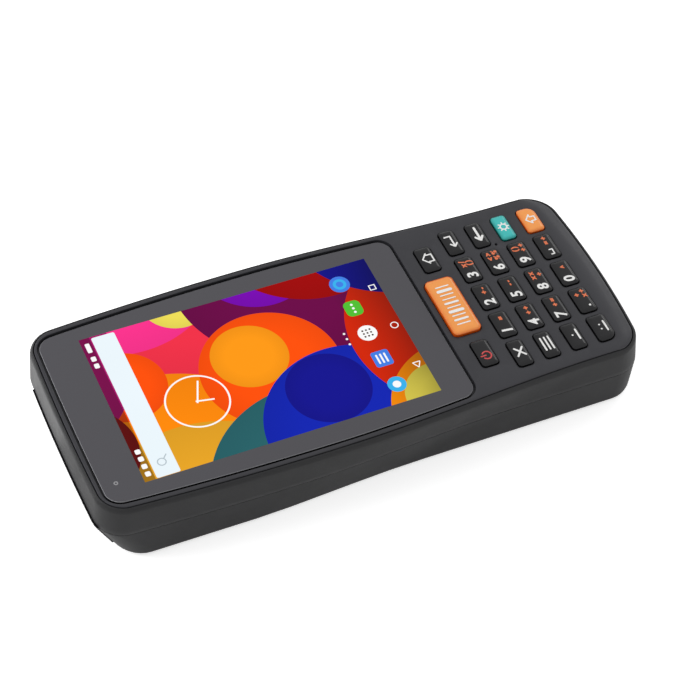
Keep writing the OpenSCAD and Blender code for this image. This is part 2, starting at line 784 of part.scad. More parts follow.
// Plate between two heights that follows the body outline, drawn in by d, below the glass
module pad_plate(z0, z1, d) {
    intersection() {
        plug(z0, z1, d);
        block(0, pad_top_y - far / 2, z0, z1, far, far);
    }
}

module keypad_board() color("#1f5a35") {
    difference() {
        pad_plate(deck_z, pad_board_z, wall + 1.6);
        for (p = pad_screws_xy) post(p, deck_z - 1, pad_board_z + 1, board_screw_r + 0.1);
    }
}

module keypad_mat() color("#d9d4c8") {
    difference() {
        pad_plate(pad_board_z, mat_top, wall + 1.6);
        for (k = KEYS) post([k[1], k[2] - k[4] / 2], pad_board_z - 1, mat_top + 1, 2.1);
        for (p = pad_screws_xy) post(p, pad_board_z - 1, mat_top + 1, board_head_r + 0.6);
        block(mic_xy[0], mic_xy[1], pad_board_z - 1, mat_top + 1, mic_size[0] + 0.4, mic_size[1] + 0.4);
    }
}

module key_domes() color("#c9c9c4") {
    for (k = KEYS) translate([k[1], k[2] - k[4] / 2, pad_board_z]) rotate_extrude($fn = 32)
        polygon([[0, 0], [1.9, 0], [1.6, dome_h * 0.7], [0.9, dome_h], [0, dome_h]]);
}

module microphone() color("#b9b29a")
    block(mic_xy[0], mic_xy[1], pad_board_z, mat_top, mic_size[0], mic_size[1]);

module main_board() color("#1f5a35") {
    difference() {
        union() {
            block(0, (board_y0 + board_y1) / 2, board_z, board_top, board_w, board_y1 - board_y0);
            block(0, board_y0 - board_tab[1] / 2 + 1, board_z, board_top, board_tab[0], board_tab[1]);
        }
        for (p = board_posts_xy) post(p, board_z - 1, board_top + 1, board_screw_r + 0.1);
    }
}

// Shield cans on the main board: middle x, middle y, width, length, height
cans = [[-9, board_y1 - 26, 26, 22, 1.9], [10, bay_y1 - 19, 20, 26, 1.9], [-13, bay_y1 - 21, 16, 16, 1.6]];

module shield_cans() color("#c4c7c9") {
    for (c = cans) slab(c[0], c[1], board_top, board_top + c[4], c[2], c[3], 0.8);
}

module backup_cell() color("#c0c0bd") post([-12, board_y0 + 20], board_top, board_top + 2.2, 5);

motor_xy = [13, board_y0 + 20];
motor_r = 4;

module vibration_motor() color("#b5b5b0") {
    post(motor_xy, board_top, board_top + 2.7, motor_r);
    block(motor_xy[0], motor_xy[1] + motor_r + 1.5, board_top, board_top + 1, 3, 4);
}

module usb_socket() color("#b7babd") {
    translate([0, socket_y + socket_len, port_z]) rotate([90, 0, 0]) difference() {
        linear_extrude(socket_len) rounded(socket_w, socket_h, socket_h / 2 - 0.05);
        translate([0, 0, 1]) linear_extrude(socket_len + 1)
            rounded(socket_w - 2 * socket_wall - 0.1, socket_h - 2 * socket_wall, socket_h / 2 - 0.35);
    }
    block(0, socket_y + 3.9, port_z - 0.35, port_z + 0.35, socket_w - 2.4, 4);
    block(0, socket_y + 4.5, port_z + 1.3, board_z, socket_w - 2, 4);
}

card_x = 11;
card_y = bay_y1 - 17;
card_size = [14, 12];

module card_sockets() color("#c4c7c9") {
    for (s = [-1, 1]) difference() {
        block(s * card_x, card_y, board_z - 1.4, board_z, card_size[0], card_size[1]);
        block(s * card_x, card_y, board_z - 1.1, board_z - 0.3, card_size[0] - 1.4, card_size[1] + 2);
    }
}

contact_z = battery_z + 3.8;
contact_w = 12;
contact_pitch = 3;

module battery_contacts() color("#2a2a2a") {
    block(0, bay_y1 + bay_wall + 1.6, contact_z - 2.3, board_z, contact_w, 3.2);
    for (i = [-1.5 : 1.5])
        translate([i * contact_pitch, bay_y1 + bay_wall + 0.2, contact_z]) rotate([90, 0, 0])
            cylinder(h = bay_wall + 0.45, r = 0.5, $fn = 24);
}

module battery() color("#2d2d33") {
    difference() {
        slab(0, battery_y1 - battery_len / 2, battery_z, battery_z + battery_t, battery_w, battery_len, 1.2);
        for (i = [-1.5 : 1.5])
            block(i * contact_pitch, battery_y1, contact_z - 0.8, contact_z + 0.8, 1.8, 0.6);
    }
}

// ---- Scanner, sound and camera ----

module scan_engine() color("#26262a") {
    face_y = engine_y + engine_len / 2;
    difference() {
        block(engine_x, engine_y, engine_z0, engine_z1, engine_w, engine_len);
        for (x = [-6, 0, 6])
            translate([engine_x + x, face_y + 1, lens_z]) rotate([90, 0, 0])
                cylinder(h = 2, r = x == 0 ? 2.9 : 1.9, $fn = 40);
    }
    translate([engine_x, face_y - 1.1, lens_z]) rotate([-90, 0, 0]) cylinder(h = 1.9, r = 2.3, $fn = 40);
    for (x = [-6, 6])
        translate([engine_x + x, face_y - 1.1, lens_z]) rotate([-90, 0, 0])
            cylinder(h = 0.9, r1 = 1.5, r2 = 1, $fn = 32);
}

module engine_bracket() color("#9aa0a3") {
    top = engine_z1 + bracket_t;
    block(engine_x, engine_y, engine_z1, top, bracket_w, engine_len);
    for (s = [-1, 1]) {
        block(engine_x + s * (engine_w / 2 + 1), engine_y, lens_z, top, bracket_t, engine_len - 2.6);
        post([engine_x + s * 8, engine_y], top, plate_z, 2);
    }
}

module scan_window() color("#141416") {
    intersection() {
        difference() {
            skin(window_zs, -window_proud);
            skin(window_zs, window_t);
        }
        block(engine_x, tip_y, window_z0, seam_z - fit_gap, window_w, 30);
    }
}

module speaker() color("#2a2a2a") {
    difference() {
        slab(speaker_xy[0], speaker_xy[1], inner_z, inner_z + 4, speaker_size[0], speaker_size[1], 1.5);
        slab(speaker_xy[0], speaker_xy[1], inner_z - 1, inner_z + 0.6, speaker_size[0] - 3,
             speaker_size[1] - 3, 1.2);
    }
}

module camera_module() color("#222226") {
    mount_z = floor_z + 4.8;
    post(camera_xy, floor_z + 1.9, mount_z, camera_r - 1.5);
    block(camera_xy[0], camera_xy[1], mount_z, mount_z + 2.6, camera_size, camera_size);
    block(camera_xy[0], camera_xy[1] - 1, mount_z + 2.6, board_z, camera_size - 2.6, camera_size - 2.6);
}

module camera_lens() color("#101014") post(camera_xy, floor_z + 0.15, floor_z + 1, camera_r);

module flash_lens() color("#f2efdc") {
    post(flash_xy, floor_z + 0.1, floor_z + 1.2, flash_r);
    post(flash_xy, floor_z + 1.2, inner_z, flash_r + 0.4);
}

module antenna() color("#b07a3a") {
    slab(antenna_size[0] / 2 - 2, cover_top_y + 12, inner_z, inner_z + 0.3, antenna_size[0],
         antenna_size[1], 1);
}

// ---- Port flap ----

// Tether: a stub held in the shell, with the middle knuckle of the hinge on its end
module flap_anchor() color("#1d1d1d") {
    block(hinge_x - 1, tail_y + flap_t + 0.3 + 1.7, flap_z - knuckle_z, flap_z + knuckle_z, 2.2, 3.4);
    block(hinge_x - 0.8, tail_y + flap_t + 0.1, flap_z - knuckle_z, flap_z + knuckle_z, 1, 1.2);
    translate([hinge_x, hinge_y, flap_z - knuckle_z]) cylinder(h = 2 * knuckle_z, r = hinge_r, $fn = 32);
}

module port_flap() color("#1d1d1d") {
    difference() {
        union() {
            block(0, tail_y + flap_t / 2, flap_z - flap_h / 2, flap_z + flap_h / 2, flap_w, flap_t);
            for (s = [-1, 1]) {
                z = flap_z + s * (flap_h / 2 + knuckle_z + fit_gap) / 2;
                h = flap_h / 2 - knuckle_z - fit_gap;
                translate([hinge_x, hinge_y, z - h / 2]) cylinder(h = h, r = hinge_r, $fn = 32);
                block((hinge_x - flap_w / 2) / 2, hinge_y, z - h / 2, z + h / 2, 0.9, 2 * hinge_r - 0.1);
            }
        }
        // nail notch in the lower edge of the free end
        translate([flap_w / 2 - 3, tail_y - 1, flap_z - flap_h / 2]) rotate([-90, 0, 0])
            cylinder(h = 3, r = 1.2, $fn = 32);
    }
    // plug that enters the port
    translate([0, tail_y + flap_t + 1.2, port_z]) rotate([90, 0, 0]) linear_extrude(1.3)
        rounded(socket_w - 1, socket_h - 0.9, socket_h / 2 - 0.55);
}

// ---- Fasteners ----

module case_screws() color("#8d9092") {
    for (p = case_screws_xy) {
        post(p, head_seat(p), plate_z - 1.6, screw_d / 2);
        difference() {
            post(p, head_seat(p) - head_t, head_seat(p), head_d / 2);
            for (a = [0, 90]) translate([p[0], p[1], head_seat(p) - head_t - eps]) rotate([0, 0, a])
                translate([-1, -0.25, 0]) cube([2, 0.5, 0.6]);
        }
    }
}

module board_screws() color("#8d9092") {
    for (p = board_posts_xy) {
        post(p, board_z - 0.6, board_z, board_head_r);
        post(p, board_z, board_top + 2.4, board_screw_r);
    }
    for (p = pad_screws_xy) {
        post(p, pad_board_z, pad_board_z + 0.5, board_head_r);
        post(p, plate_z, pad_board_z, board_screw_r);
    }
}

// ---- Keys ----

module key(k) color(k[6]) {
    x = k[1];
    y = k[2] - k[4] / 2;
    top = face_z + key_proud + (k[0] == "scan" ? scan_extra : 0);
    key_block(k, flange_z, flange_top, flange_w);
    key_block(k, flange_top - eps, top - crown_h, 0);
    hull() {
        translate([x, y, top - crown_h]) linear_extrude(eps) key_plan(k, 0, 16);
        translate([x, y, top - eps]) linear_extrude(eps) key_plan(k, -crown_in, 16);
    }
    post([x, y], stem_z, flange_z, stem_r);
}

front_panel();
front_frame();
rear_shell();
cover_glass();
glass_tape();
display_module();
mid_plate();
keypad_mat();
keypad_board();
key_domes();
main_board();
shield_cans();
scan_engine();
engine_bracket();
scan_window();
speaker();
vibration_motor();
usb_socket();
battery();
battery_contacts();
card_sockets();
camera_module();
camera_lens();
flash_lens();
microphone();
light_sensor();
backup_cell();
antenna();
case_screws();
board_screws();
rubber_feet();
battery_cover();
port_flap();
flap_anchor();
for (k = KEYS) key(k);
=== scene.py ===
"""Looks of a portable barcode data terminal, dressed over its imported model.

Sizes are millimetres while a shape is built, and every finished mesh is in metres in the frame of the
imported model: +X to the user's right, +Y to the scanner end, +Z out of the display.
"""

import logging
import math
from dataclasses import dataclass, field
from enum import Enum
from functools import cached_property
from itertools import cycle
from typing import Callable, Iterable, Sequence, Union

import bmesh
import bpy
from mathutils import Matrix, Vector


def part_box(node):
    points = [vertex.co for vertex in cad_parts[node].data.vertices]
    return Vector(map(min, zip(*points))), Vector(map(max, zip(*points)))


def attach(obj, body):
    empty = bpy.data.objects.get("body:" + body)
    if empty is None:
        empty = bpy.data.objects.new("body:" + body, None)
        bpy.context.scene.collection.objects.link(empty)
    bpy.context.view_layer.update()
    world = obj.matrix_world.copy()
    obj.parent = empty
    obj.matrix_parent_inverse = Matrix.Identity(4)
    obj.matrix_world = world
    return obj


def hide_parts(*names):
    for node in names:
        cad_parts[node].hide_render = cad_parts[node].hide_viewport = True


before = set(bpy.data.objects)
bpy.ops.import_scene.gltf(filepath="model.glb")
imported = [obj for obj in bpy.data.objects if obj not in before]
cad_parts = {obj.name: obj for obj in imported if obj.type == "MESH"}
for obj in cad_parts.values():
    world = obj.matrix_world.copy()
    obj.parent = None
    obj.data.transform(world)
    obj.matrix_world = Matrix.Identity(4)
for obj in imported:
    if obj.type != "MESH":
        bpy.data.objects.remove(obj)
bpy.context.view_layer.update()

MM = 0.001
# Rounded edges by shares of their radius: inwards from the wall, and down from the surface.
QUARTER_ROUND = ((1.0, 0.0), (0.55, 0.08), (0.12, 0.5), (0.0, 1.0))
SMALL_ROUND = ((1.0, 0.0), (0.3, 0.3), (0.0, 1.0))
log = logging.getLogger("terminal")

Colour = tuple[float, float, float, float]
Point = tuple[float, float]
Plan = list[Point]
Bar = tuple[float, float, float, float]
Surface = Callable[[float, float], float]
Edges = list[bmesh.types.BMEdge]
Value = Union["Wire", float, tuple]


def shade(code: str, factor: float = 1.0) -> Colour:
    """Linear colour of a hex code as a display shows it.

    Args:
        code: Six hex digits.
        factor: Makes it darker or lighter.

    Returns:
        The colour, opaque.
    """
    parts = [int(code[i:i + 2], 16) / 255 for i in (0, 2, 4)]
    linear = [p / 12.92 if p <= 0.04045 else ((p + 0.055) / 1.055) ** 2.4 for p in parts]
    return (*(min(1.0, p * factor) for p in linear), 1.0)


def share(value: float, start: float, end: float) -> float:
    """How far a value is on the way from start to end, held between 0 and 1."""
    return min(1.0, max(0.0, (value - start) / (end - start)))


def polar(radius: float, degrees: float) -> Point:
    """Point at a distance and an angle from the middle."""
    return radius * math.cos(math.radians(degrees)), radius * math.sin(math.radians(degrees))


# ---- Shader trees ----


def operator(operation: str, reflected: bool = False) -> Callable[["Wire", Value], "Wire"]:
    """Makes an operator of a wire.

    Args:
        operation: The Math node's operation.
        reflected: Whether the wire stands on the right.

    Returns:
        A method that adds that node.
    """
    def apply(wire: "Wire", other: Value) -> "Wire":
        """Joins the two values to a Math node."""
        return wire.shader.math(operation, *((other, wire) if reflected else (wire, other)))

    return apply


class Wire:
    """An output of a shader node. Arithmetic on it adds Math nodes, and a comparison is 1 where it holds."""

    def __init__(self, shader: "Shader", socket: bpy.types.NodeSocket) -> None:
        """Keeps the tree and the socket."""
        self.shader = shader
        self.socket = socket

    __add__, __radd__ = operator("ADD"), operator("ADD", True)
    __sub__, __rsub__ = operator("SUBTRACT"), operator("SUBTRACT", True)
    __mul__, __rmul__ = operator("MULTIPLY"), operator("MULTIPLY", True)
    __truediv__, __rtruediv__ = operator("DIVIDE"), operator("DIVIDE", True)
    __gt__, __lt__ = operator("GREATER_THAN"), operator("LESS_THAN")

    def clamped(self) -> "Wire":
        """Held between 0 and 1."""
        return self.shader.node("Clamp", {}, {"Value": self})


class Shader:
    """The node tree of one material or world. Its patterns read Object coordinates in millimetres."""

    def __init__(self, owner: bpy.types.Material | bpy.types.World) -> None:
        """Empties the tree.

        Args:
            owner: The material or world that it belongs to.
        """
        self.owner = owner
        owner.use_nodes = True
        self.tree = owner.node_tree
        self.tree.nodes.clear()

    @cached_property
    def place(self) -> Wire:
        """Object coordinates in millimetres."""
        at = self.node("TexCoord", output="Object")
        return self.node("VectorMath", {"operation": "SCALE"}, {0: at, "Scale": 1 / MM})

    def node(self, kind: str, settings: dict | None = None, inputs: dict | None = None,
             output: int | str | None = 0) -> Wire | None:
        """Adds a node, sets it up and feeds its sockets.

        Args:
            kind: Node type without its ShaderNode prefix.
            settings: Properties by name, such as a Math node's operation.
            inputs: Values or wires by socket name or number.
            output: Name or number of the output that is used, if there is one.

        Returns:
            That output.
        """
        made = self.tree.nodes.new("ShaderNode" + kind)
        for name, value in (settings or {}).items():
            setattr(made, name, value)
        for name, value in (inputs or {}).items():
            if isinstance(value, Wire):
                self.tree.links.new(value.socket, made.inputs[name])
            else:
                made.inputs[name].default_value = value
        return Wire(self, made.outputs[output]) if output is not None else None

    def math(self, operation: str, *values: Value) -> Wire:
        """Adds a Math node on values."""
        return self.node("Math", {"operation": operation}, dict(enumerate(values)))

    def mix(self, factor: Value, low: Value, high: Value) -> Wire:
        """Colour that goes from low to high as factor goes from 0 to 1."""
        return self.node("Mix", {"data_type": "RGBA"}, {0: factor, 6: low, 7: high}, output=2)

    def tones(self, factor: Value, code: str, low: float, high: float = 1.0) -> Wire:
        """A hex colour that goes from one shade of itself to another as factor goes from 0 to 1."""
        return self.mix(factor, shade(code, low), shade(code, high))

    def noise(self, pitch: float, detail: float = 2.0, place: Wire | None = None) -> Wire:
        """Noise between 0 and 1 whose features are pitch millimetres wide."""
        return self.node("TexNoise", {}, {"Vector": place or self.place, "Scale": 1 / pitch,
                                          "Detail": detail, "Roughness": 0.55})

    def stretched(self, x: float, y: float, z: float) -> Wire:
        """The place, multiplied along each axis."""
        return self.node("VectorMath", {"operation": "MULTIPLY"}, {0: self.place, 1: (x, y, z)})

    def axis(self, name: str) -> Wire:
        """One coordinate of the place in millimetres: X, Y or Z."""
        return self.node("SeparateXYZ", {}, {0: self.place}, output=name)

    def distance(self, x: float, y: float) -> Wire:
        """Distance in plan from a point, in millimetres."""
        flat = self.stretched(1, 1, 0)
        return self.node("VectorMath", {"operation": "DISTANCE"}, {0: flat, 1: (x, y, 0)}, output="Value")

    def bump(self, height: Wire, depth: float) -> Wire:
        """Normal of a surface whose relief is depth millimetres deep."""
        return self.node("Bump", {}, {"Strength": 1.0, "Distance": depth * MM, "Height": height})

    def surface(self, **inputs: Value) -> None:
        """Ends the tree in a Principled shader. Underscores in the names stand for spaces."""
        named = {name.replace("_", " "): value for name, value in inputs.items()}
        self.end(self.node("BsdfPrincipled", {}, named))

    def end(self, shader: Wire) -> None:
        """Joins a shader to the output of the material or world."""
        kind = "OutputWorld" if isinstance(self.owner, bpy.types.World) else "OutputMaterial"
        self.node(kind, {}, {"Surface": shader}, output=None)


# ---- Finishes ----


@dataclass(frozen=True)
class Finish:
    """A finish. Its material is made when it is first asked for, and reads sizes in millimetres."""

    name: str

    def paint(self, shader: Shader) -> None:
        """Fills the shader tree."""
        raise NotImplementedError

    def material(self) -> bpy.types.Material:
        """The material of this finish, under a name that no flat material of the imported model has.

        Returns:
            The same material each time.
        """
        title = "finish_" + self.name
        known = bpy.data.materials.get(title)
        if known:
            return known
        made = bpy.data.materials.new(title)
        self.paint(Shader(made))
        return made


@dataclass(frozen=True)
class Moulded(Finish):
    """Moulded plastic with a fine spark-eroded grain, slightly polished where hands touch it."""

    colour: str = "3a3a3b"
    roughness: float = 0.42
    grain: float = 0.4
    depth: float = 0.006
    specular: float = 0.5
    cloud_pitch: float = 22.0
    smudge_pitch: float = 6.0
    worn_from: float = 0.515
    worn_gain: float = 14.0

    def paint(self, shader: Shader) -> None:
        """Cloudy colour, worn edges and a fine grain.

        Args:
            shader: The material's tree.
        """
        cloud = shader.noise(self.cloud_pitch, 3)
        smudge = shader.noise(self.smudge_pitch, 4)
        grain = shader.noise(self.grain, 2)
        edge = shader.node("NewGeometry", output="Pointiness")
        worn = ((edge - self.worn_from) * self.worn_gain).clamped() * smudge
        body = shader.tones(cloud, self.colour, 0.9, 1.12)
        shader.surface(Base_Color=shader.mix(worn * 0.5, body, shade(self.colour, 1.9)),
                       Roughness=self.roughness + (smudge - 0.5) * 0.16 + (grain - 0.5) * 0.1,
                       Specular_IOR_Level=self.specular, Normal=shader.bump(grain, self.depth))


@dataclass(frozen=True)
class Rubber(Finish):
    """Soft matt rubber with a dusty bloom."""

    colour: str = "1f1f20"

    def paint(self, shader: Shader) -> None:
        """Dark, rough and slightly dusty.

        Args:
            shader: The material's tree.
        """
        dust = shader.noise(3, 5)
        grain = shader.noise(0.3, 3)
        shader.surface(Base_Color=shader.tones(dust * 0.4, self.colour, 1.0, 2.2),
                       Roughness=0.72 + dust * 0.2, Specular_IOR_Level=0.3, Normal=shader.bump(grain, 0.012))


@dataclass(frozen=True)
class Pane(Finish):
    """Polished glass or lens plastic over a printed dark layer."""

    colour: str = "2c2b2e"
    roughness: float = 0.06
    specular: float = 0.25

    def paint(self, shader: Shader) -> None:
        """Even dark print below a polished surface with faint wipe marks.

        Args:
            shader: The material's tree.
        """
        wipe = shader.noise(9, 3, shader.stretched(0.35, 1, 1))
        speck = shader.noise(0.5, 1)
        shader.surface(Base_Color=shader.tones(speck * 0.5, self.colour, 0.96, 1.05),
                       Roughness=self.roughness + (wipe * wipe) * 0.08, Specular_IOR_Level=self.specular,
                       Coat_Weight=0.15, Coat_Roughness=0.03)


@dataclass(frozen=True)
class KeyPlastic(Finish):
    """Tinted key plastic under a thick clear coat, with painted shade that darkens the cap towards its rim.
    """

    colour: str = "1a1a1c"
    # rim: colour of the painted shade on the cap's lower sides, reached at low_z.
    rim: str = "0c0c0d"
    low_z: float = 23.5
    high_z: float = 24.2

    def paint(self, shader: Shader) -> None:
        """Tint with painted shade that darkens it towards the lower rim, and a soft ripple in the coat.

        Args:
            shader: The material's tree.
        """
        # depth runs from 0 at high_z to 1 at low_z and mixes in the rim colour: painted shade down the cap's
        # sides.
        depth = ((self.high_z - shader.axis("Z")) / (self.high_z - self.low_z)).clamped()
        ripple = shader.noise(2.4, 1)
        tint = shader.tones(ripple * 0.4, self.colour, 0.92, 1.1)
        shader.surface(Base_Color=shader.mix(depth, tint, shade(self.rim)), Roughness=0.22 + ripple * 0.1,
                       Specular_IOR_Level=0.12, Coat_Weight=0.3, Coat_Roughness=0.03,
                       Normal=shader.bump(ripple, 0.015))


@dataclass(frozen=True)
class Ink(Finish):
    """Printed ink of a legend."""

    colour: str = "f4f4f2"

    def paint(self, shader: Shader) -> None:
        """Slightly uneven ink under the keys' coat.

        Args:
            shader: The material's tree.
        """
        patch = shader.noise(0.5, 3)
        shader.surface(Base_Color=shader.tones(patch, self.colour, 0.86),
                       Roughness=0.35 + patch * 0.15, Coat_Weight=0.5, Coat_Roughness=0.1)


@dataclass(frozen=True)
class Lit(Finish):
    """A lit part of the picture in one colour, with a slight gradient of the backlight."""

    colour: str = "ffffff"

    def paint(self, shader: Shader) -> None:
        """Light from the panel under a thin gloss.

        Args:
            shader: The material's tree.
        """
        glow = shader.noise(40, 1)
        light = shader.tones(glow, self.colour, 0.92)
        shader.surface(Base_Color=(0.0, 0.0, 0.0, 1), Emission_Color=light, Emission_Strength=1.0,
                       Roughness=0.12 + glow * 0.02, Specular_IOR_Level=0.12)


@dataclass(frozen=True)
class Wallpaper(Finish):
    """Picture of large discs of coloured paper that overlap: place, radius and colour, lowest first."""

    ground: str = "d81c00"
    discs: tuple[tuple[float, float, float, str], ...] = (
        (38, 66, 46, "efdf58"), (36, 34, 36, "f23048"), (46, 52, 30, "ff3290"), (30, 38, 10, "efdf58"),
        (-36, 62, 44, "ff8a00"), (-48, 54, 36, "e9a624"), (6, 62, 12, "ff5000"), (30, 4, 34, "6c0048"),
        (36, 12, 17, "7a00b4"), (-2, 22, 20, "ff5000"), (4, 26, 11, "ff9a10"), (-44, 20, 34, "28646a"),
        (-28, 6, 27, "0e24b2"), (-14, 10, 12, "101090"), (44, -6, 28, "a30000"), (-4, -34, 32, "dd2800"),
        (-34, -26, 24, "ff9100"), (-27, -19, 11, "efdf58"), (40, -30, 30, "101090"), (16, 84, 26, "b01070"),
        (-12, 82, 17, "8c1010"))
    status_y: float = 64.9
    fade_y: tuple[float, float] = (-4.0, -30.0)

    def paint(self, shader: Shader) -> None:
        """One disc over the other, each darker towards its rim. Both ends of the picture are dimmed.

        Args:
            shader: The material's tree.
        """
        picture = shade(self.ground)
        for x, y, radius, colour in self.discs:
            away = shader.distance(x, y)
            paper = shader.mix((away / radius - 0.6).clamped() * 0.5, shade(colour), shade(colour, 0.4))
            picture = shader.mix(away < radius, picture, paper)
        along = shader.axis("Y")
        start, end = self.fade_y
        dim = (along > self.status_y) * 0.55 + ((along - start) / (end - start)).clamped()
        shader.surface(Base_Color=(0.0, 0.0, 0.0, 1), Emission_Color=shader.mix(dim, picture, (0, 0, 0, 1)),
                       Emission_Strength=1.0, Roughness=0.2, Specular_IOR_Level=0.05)


@dataclass(frozen=True)
class Metal(Finish):
    """Plated or cast metal, brushed along one axis."""

    colour: str = "b9bcbe"
    roughness: float = 0.32
    brush: tuple[float, float, float] = (0.06, 1.0, 1.0)

    def paint(self, shader: Shader) -> None:
        """Brushed streaks and a few dull patches.

        Args:
            shader: The material's tree.
        """
        streak = shader.noise(0.5, 3, shader.stretched(*self.brush))
        patch = shader.noise(5, 3)
        shader.surface(Base_Color=shader.tones(patch, self.colour, 0.82), Metallic=1.0,
                       Roughness=self.roughness + (streak - 0.5) * 0.25 + patch * 0.08,
                       Normal=shader.bump(streak, 0.004))


@dataclass(frozen=True)
class Board(Finish):
    """Circuit board: solder mask over copper tracks."""

    colour: str = "1c5a36"

    def paint(self, shader: Shader) -> None:
        """Tracks as a net of straight runs below the mask.

        Args:
            shader: The material's tree.
        """
        net = shader.node("TexBrick", {"offset": 0.35},
                          {"Vector": shader.place, "Scale": 0.5, "Mortar Size": 0.03, "Brick Width": 1.3,
                           "Row Height": 0.4}, output="Fac")
        cloud = shader.noise(9, 2)
        mask = shader.tones(cloud, self.colour, 0.85, 1.1)
        shader.surface(Base_Color=shader.mix(net * 0.6, mask, shade(self.colour, 1.9)),
                       Roughness=0.28 + net * 0.12, Coat_Weight=0.3, Normal=shader.bump(net, 0.02))


@dataclass(frozen=True)
class Silicone(Finish):
    """Milky silicone."""

    colour: str = "d9d4c8"

    def paint(self, shader: Shader) -> None:
        """Milky body with faint flow marks.

        Args:
            shader: The material's tree.
        """
        flow = shader.noise(4, 4)
        shader.surface(Base_Color=shader.tones(flow, self.colour, 0.84),
                       Roughness=0.5 + flow * 0.15, Subsurface_Weight=0.2, Normal=shader.bump(flow, 0.03))


@dataclass(frozen=True)
class Ribbed(Finish):
    """Clear diffuser with fine flutes in front of a small lamp."""

    colour: str = "f2efdc"

    def paint(self, shader: Shader) -> None:
        """Flutes along X, with painted shade that darkens the colour in their troughs.

        Args:
            shader: The material's tree.
        """
        flute = shader.math("SINE", shader.axis("Y") * 9)
        # Colour follows the flutes, darker in the troughs: painted shade.
        shader.surface(Base_Color=shader.tones((flute + 1) * 0.5, self.colour, 0.7),
                       Roughness=0.15 + (flute + 1) * 0.05, Coat_Weight=0.8, Normal=shader.bump(flute, 0.05))


class Finishes:
    """The finishes of the terminal by name."""

    body = Moulded("body_plastic", "2f2f30", roughness=0.5, specular=0.16)
    panel = Moulded("panel_plastic", "343438", roughness=0.34, specular=0.25)
    module = Moulded("module_plastic", "242428", roughness=0.5)
    rubber = Rubber("port_rubber")
    foot = Rubber("foot_rubber", "181819")
    glass = Pane("glass_print", "49484d")
    # The light grey on the glass's edge chamfer is a painted highlight line round the pane.
    glass_edge_highlight = Pane("glass_edge_highlight", "88888c", roughness=0.15)
    window = Pane("window_pane", "0d0d0f", roughness=0.04)
    lens = Pane("lens_pane", "08080c", roughness=0.03)
    sensor = Pane("sensor_dot", "8e8d90", roughness=0.2)
    wrap = Pane("battery_wrap", "2d2d33", roughness=0.35)
    tape = Rubber("glass_tape", "1a1a1a")
    # The rim colours of the keys are painted shade, darker down the sides of each cap.
    black_key = KeyPlastic("key_black")
    scan_key = KeyPlastic("key_scan_orange", "ffa858", rim="d4520c", low_z=24.1, high_z=24.8)
    orange_key = KeyPlastic("key_orange", "ffa456", rim="d4520c", low_z=23.8, high_z=24.5)
    teal_key = KeyPlastic("key_teal", "44c2be", rim="09665f", low_z=23.8, high_z=24.5)
    white = Ink("ink_white")
    orange = Ink("ink_orange", "e8703a")
    red = Ink("ink_red", "d0393a")
    picture = Wallpaper("wallpaper")
    alloy = Metal("plate_alloy", "9aa0a3", roughness=0.45)
    steel = Metal("plated_steel")
    copper = Metal("copper_foil", "b07a3a", roughness=0.3)
    board = Board("circuit_board")
    silicone = Silicone("pad_silicone")
    diffuser = Ribbed("flash_diffuser")


# ---- Outline of the body ----


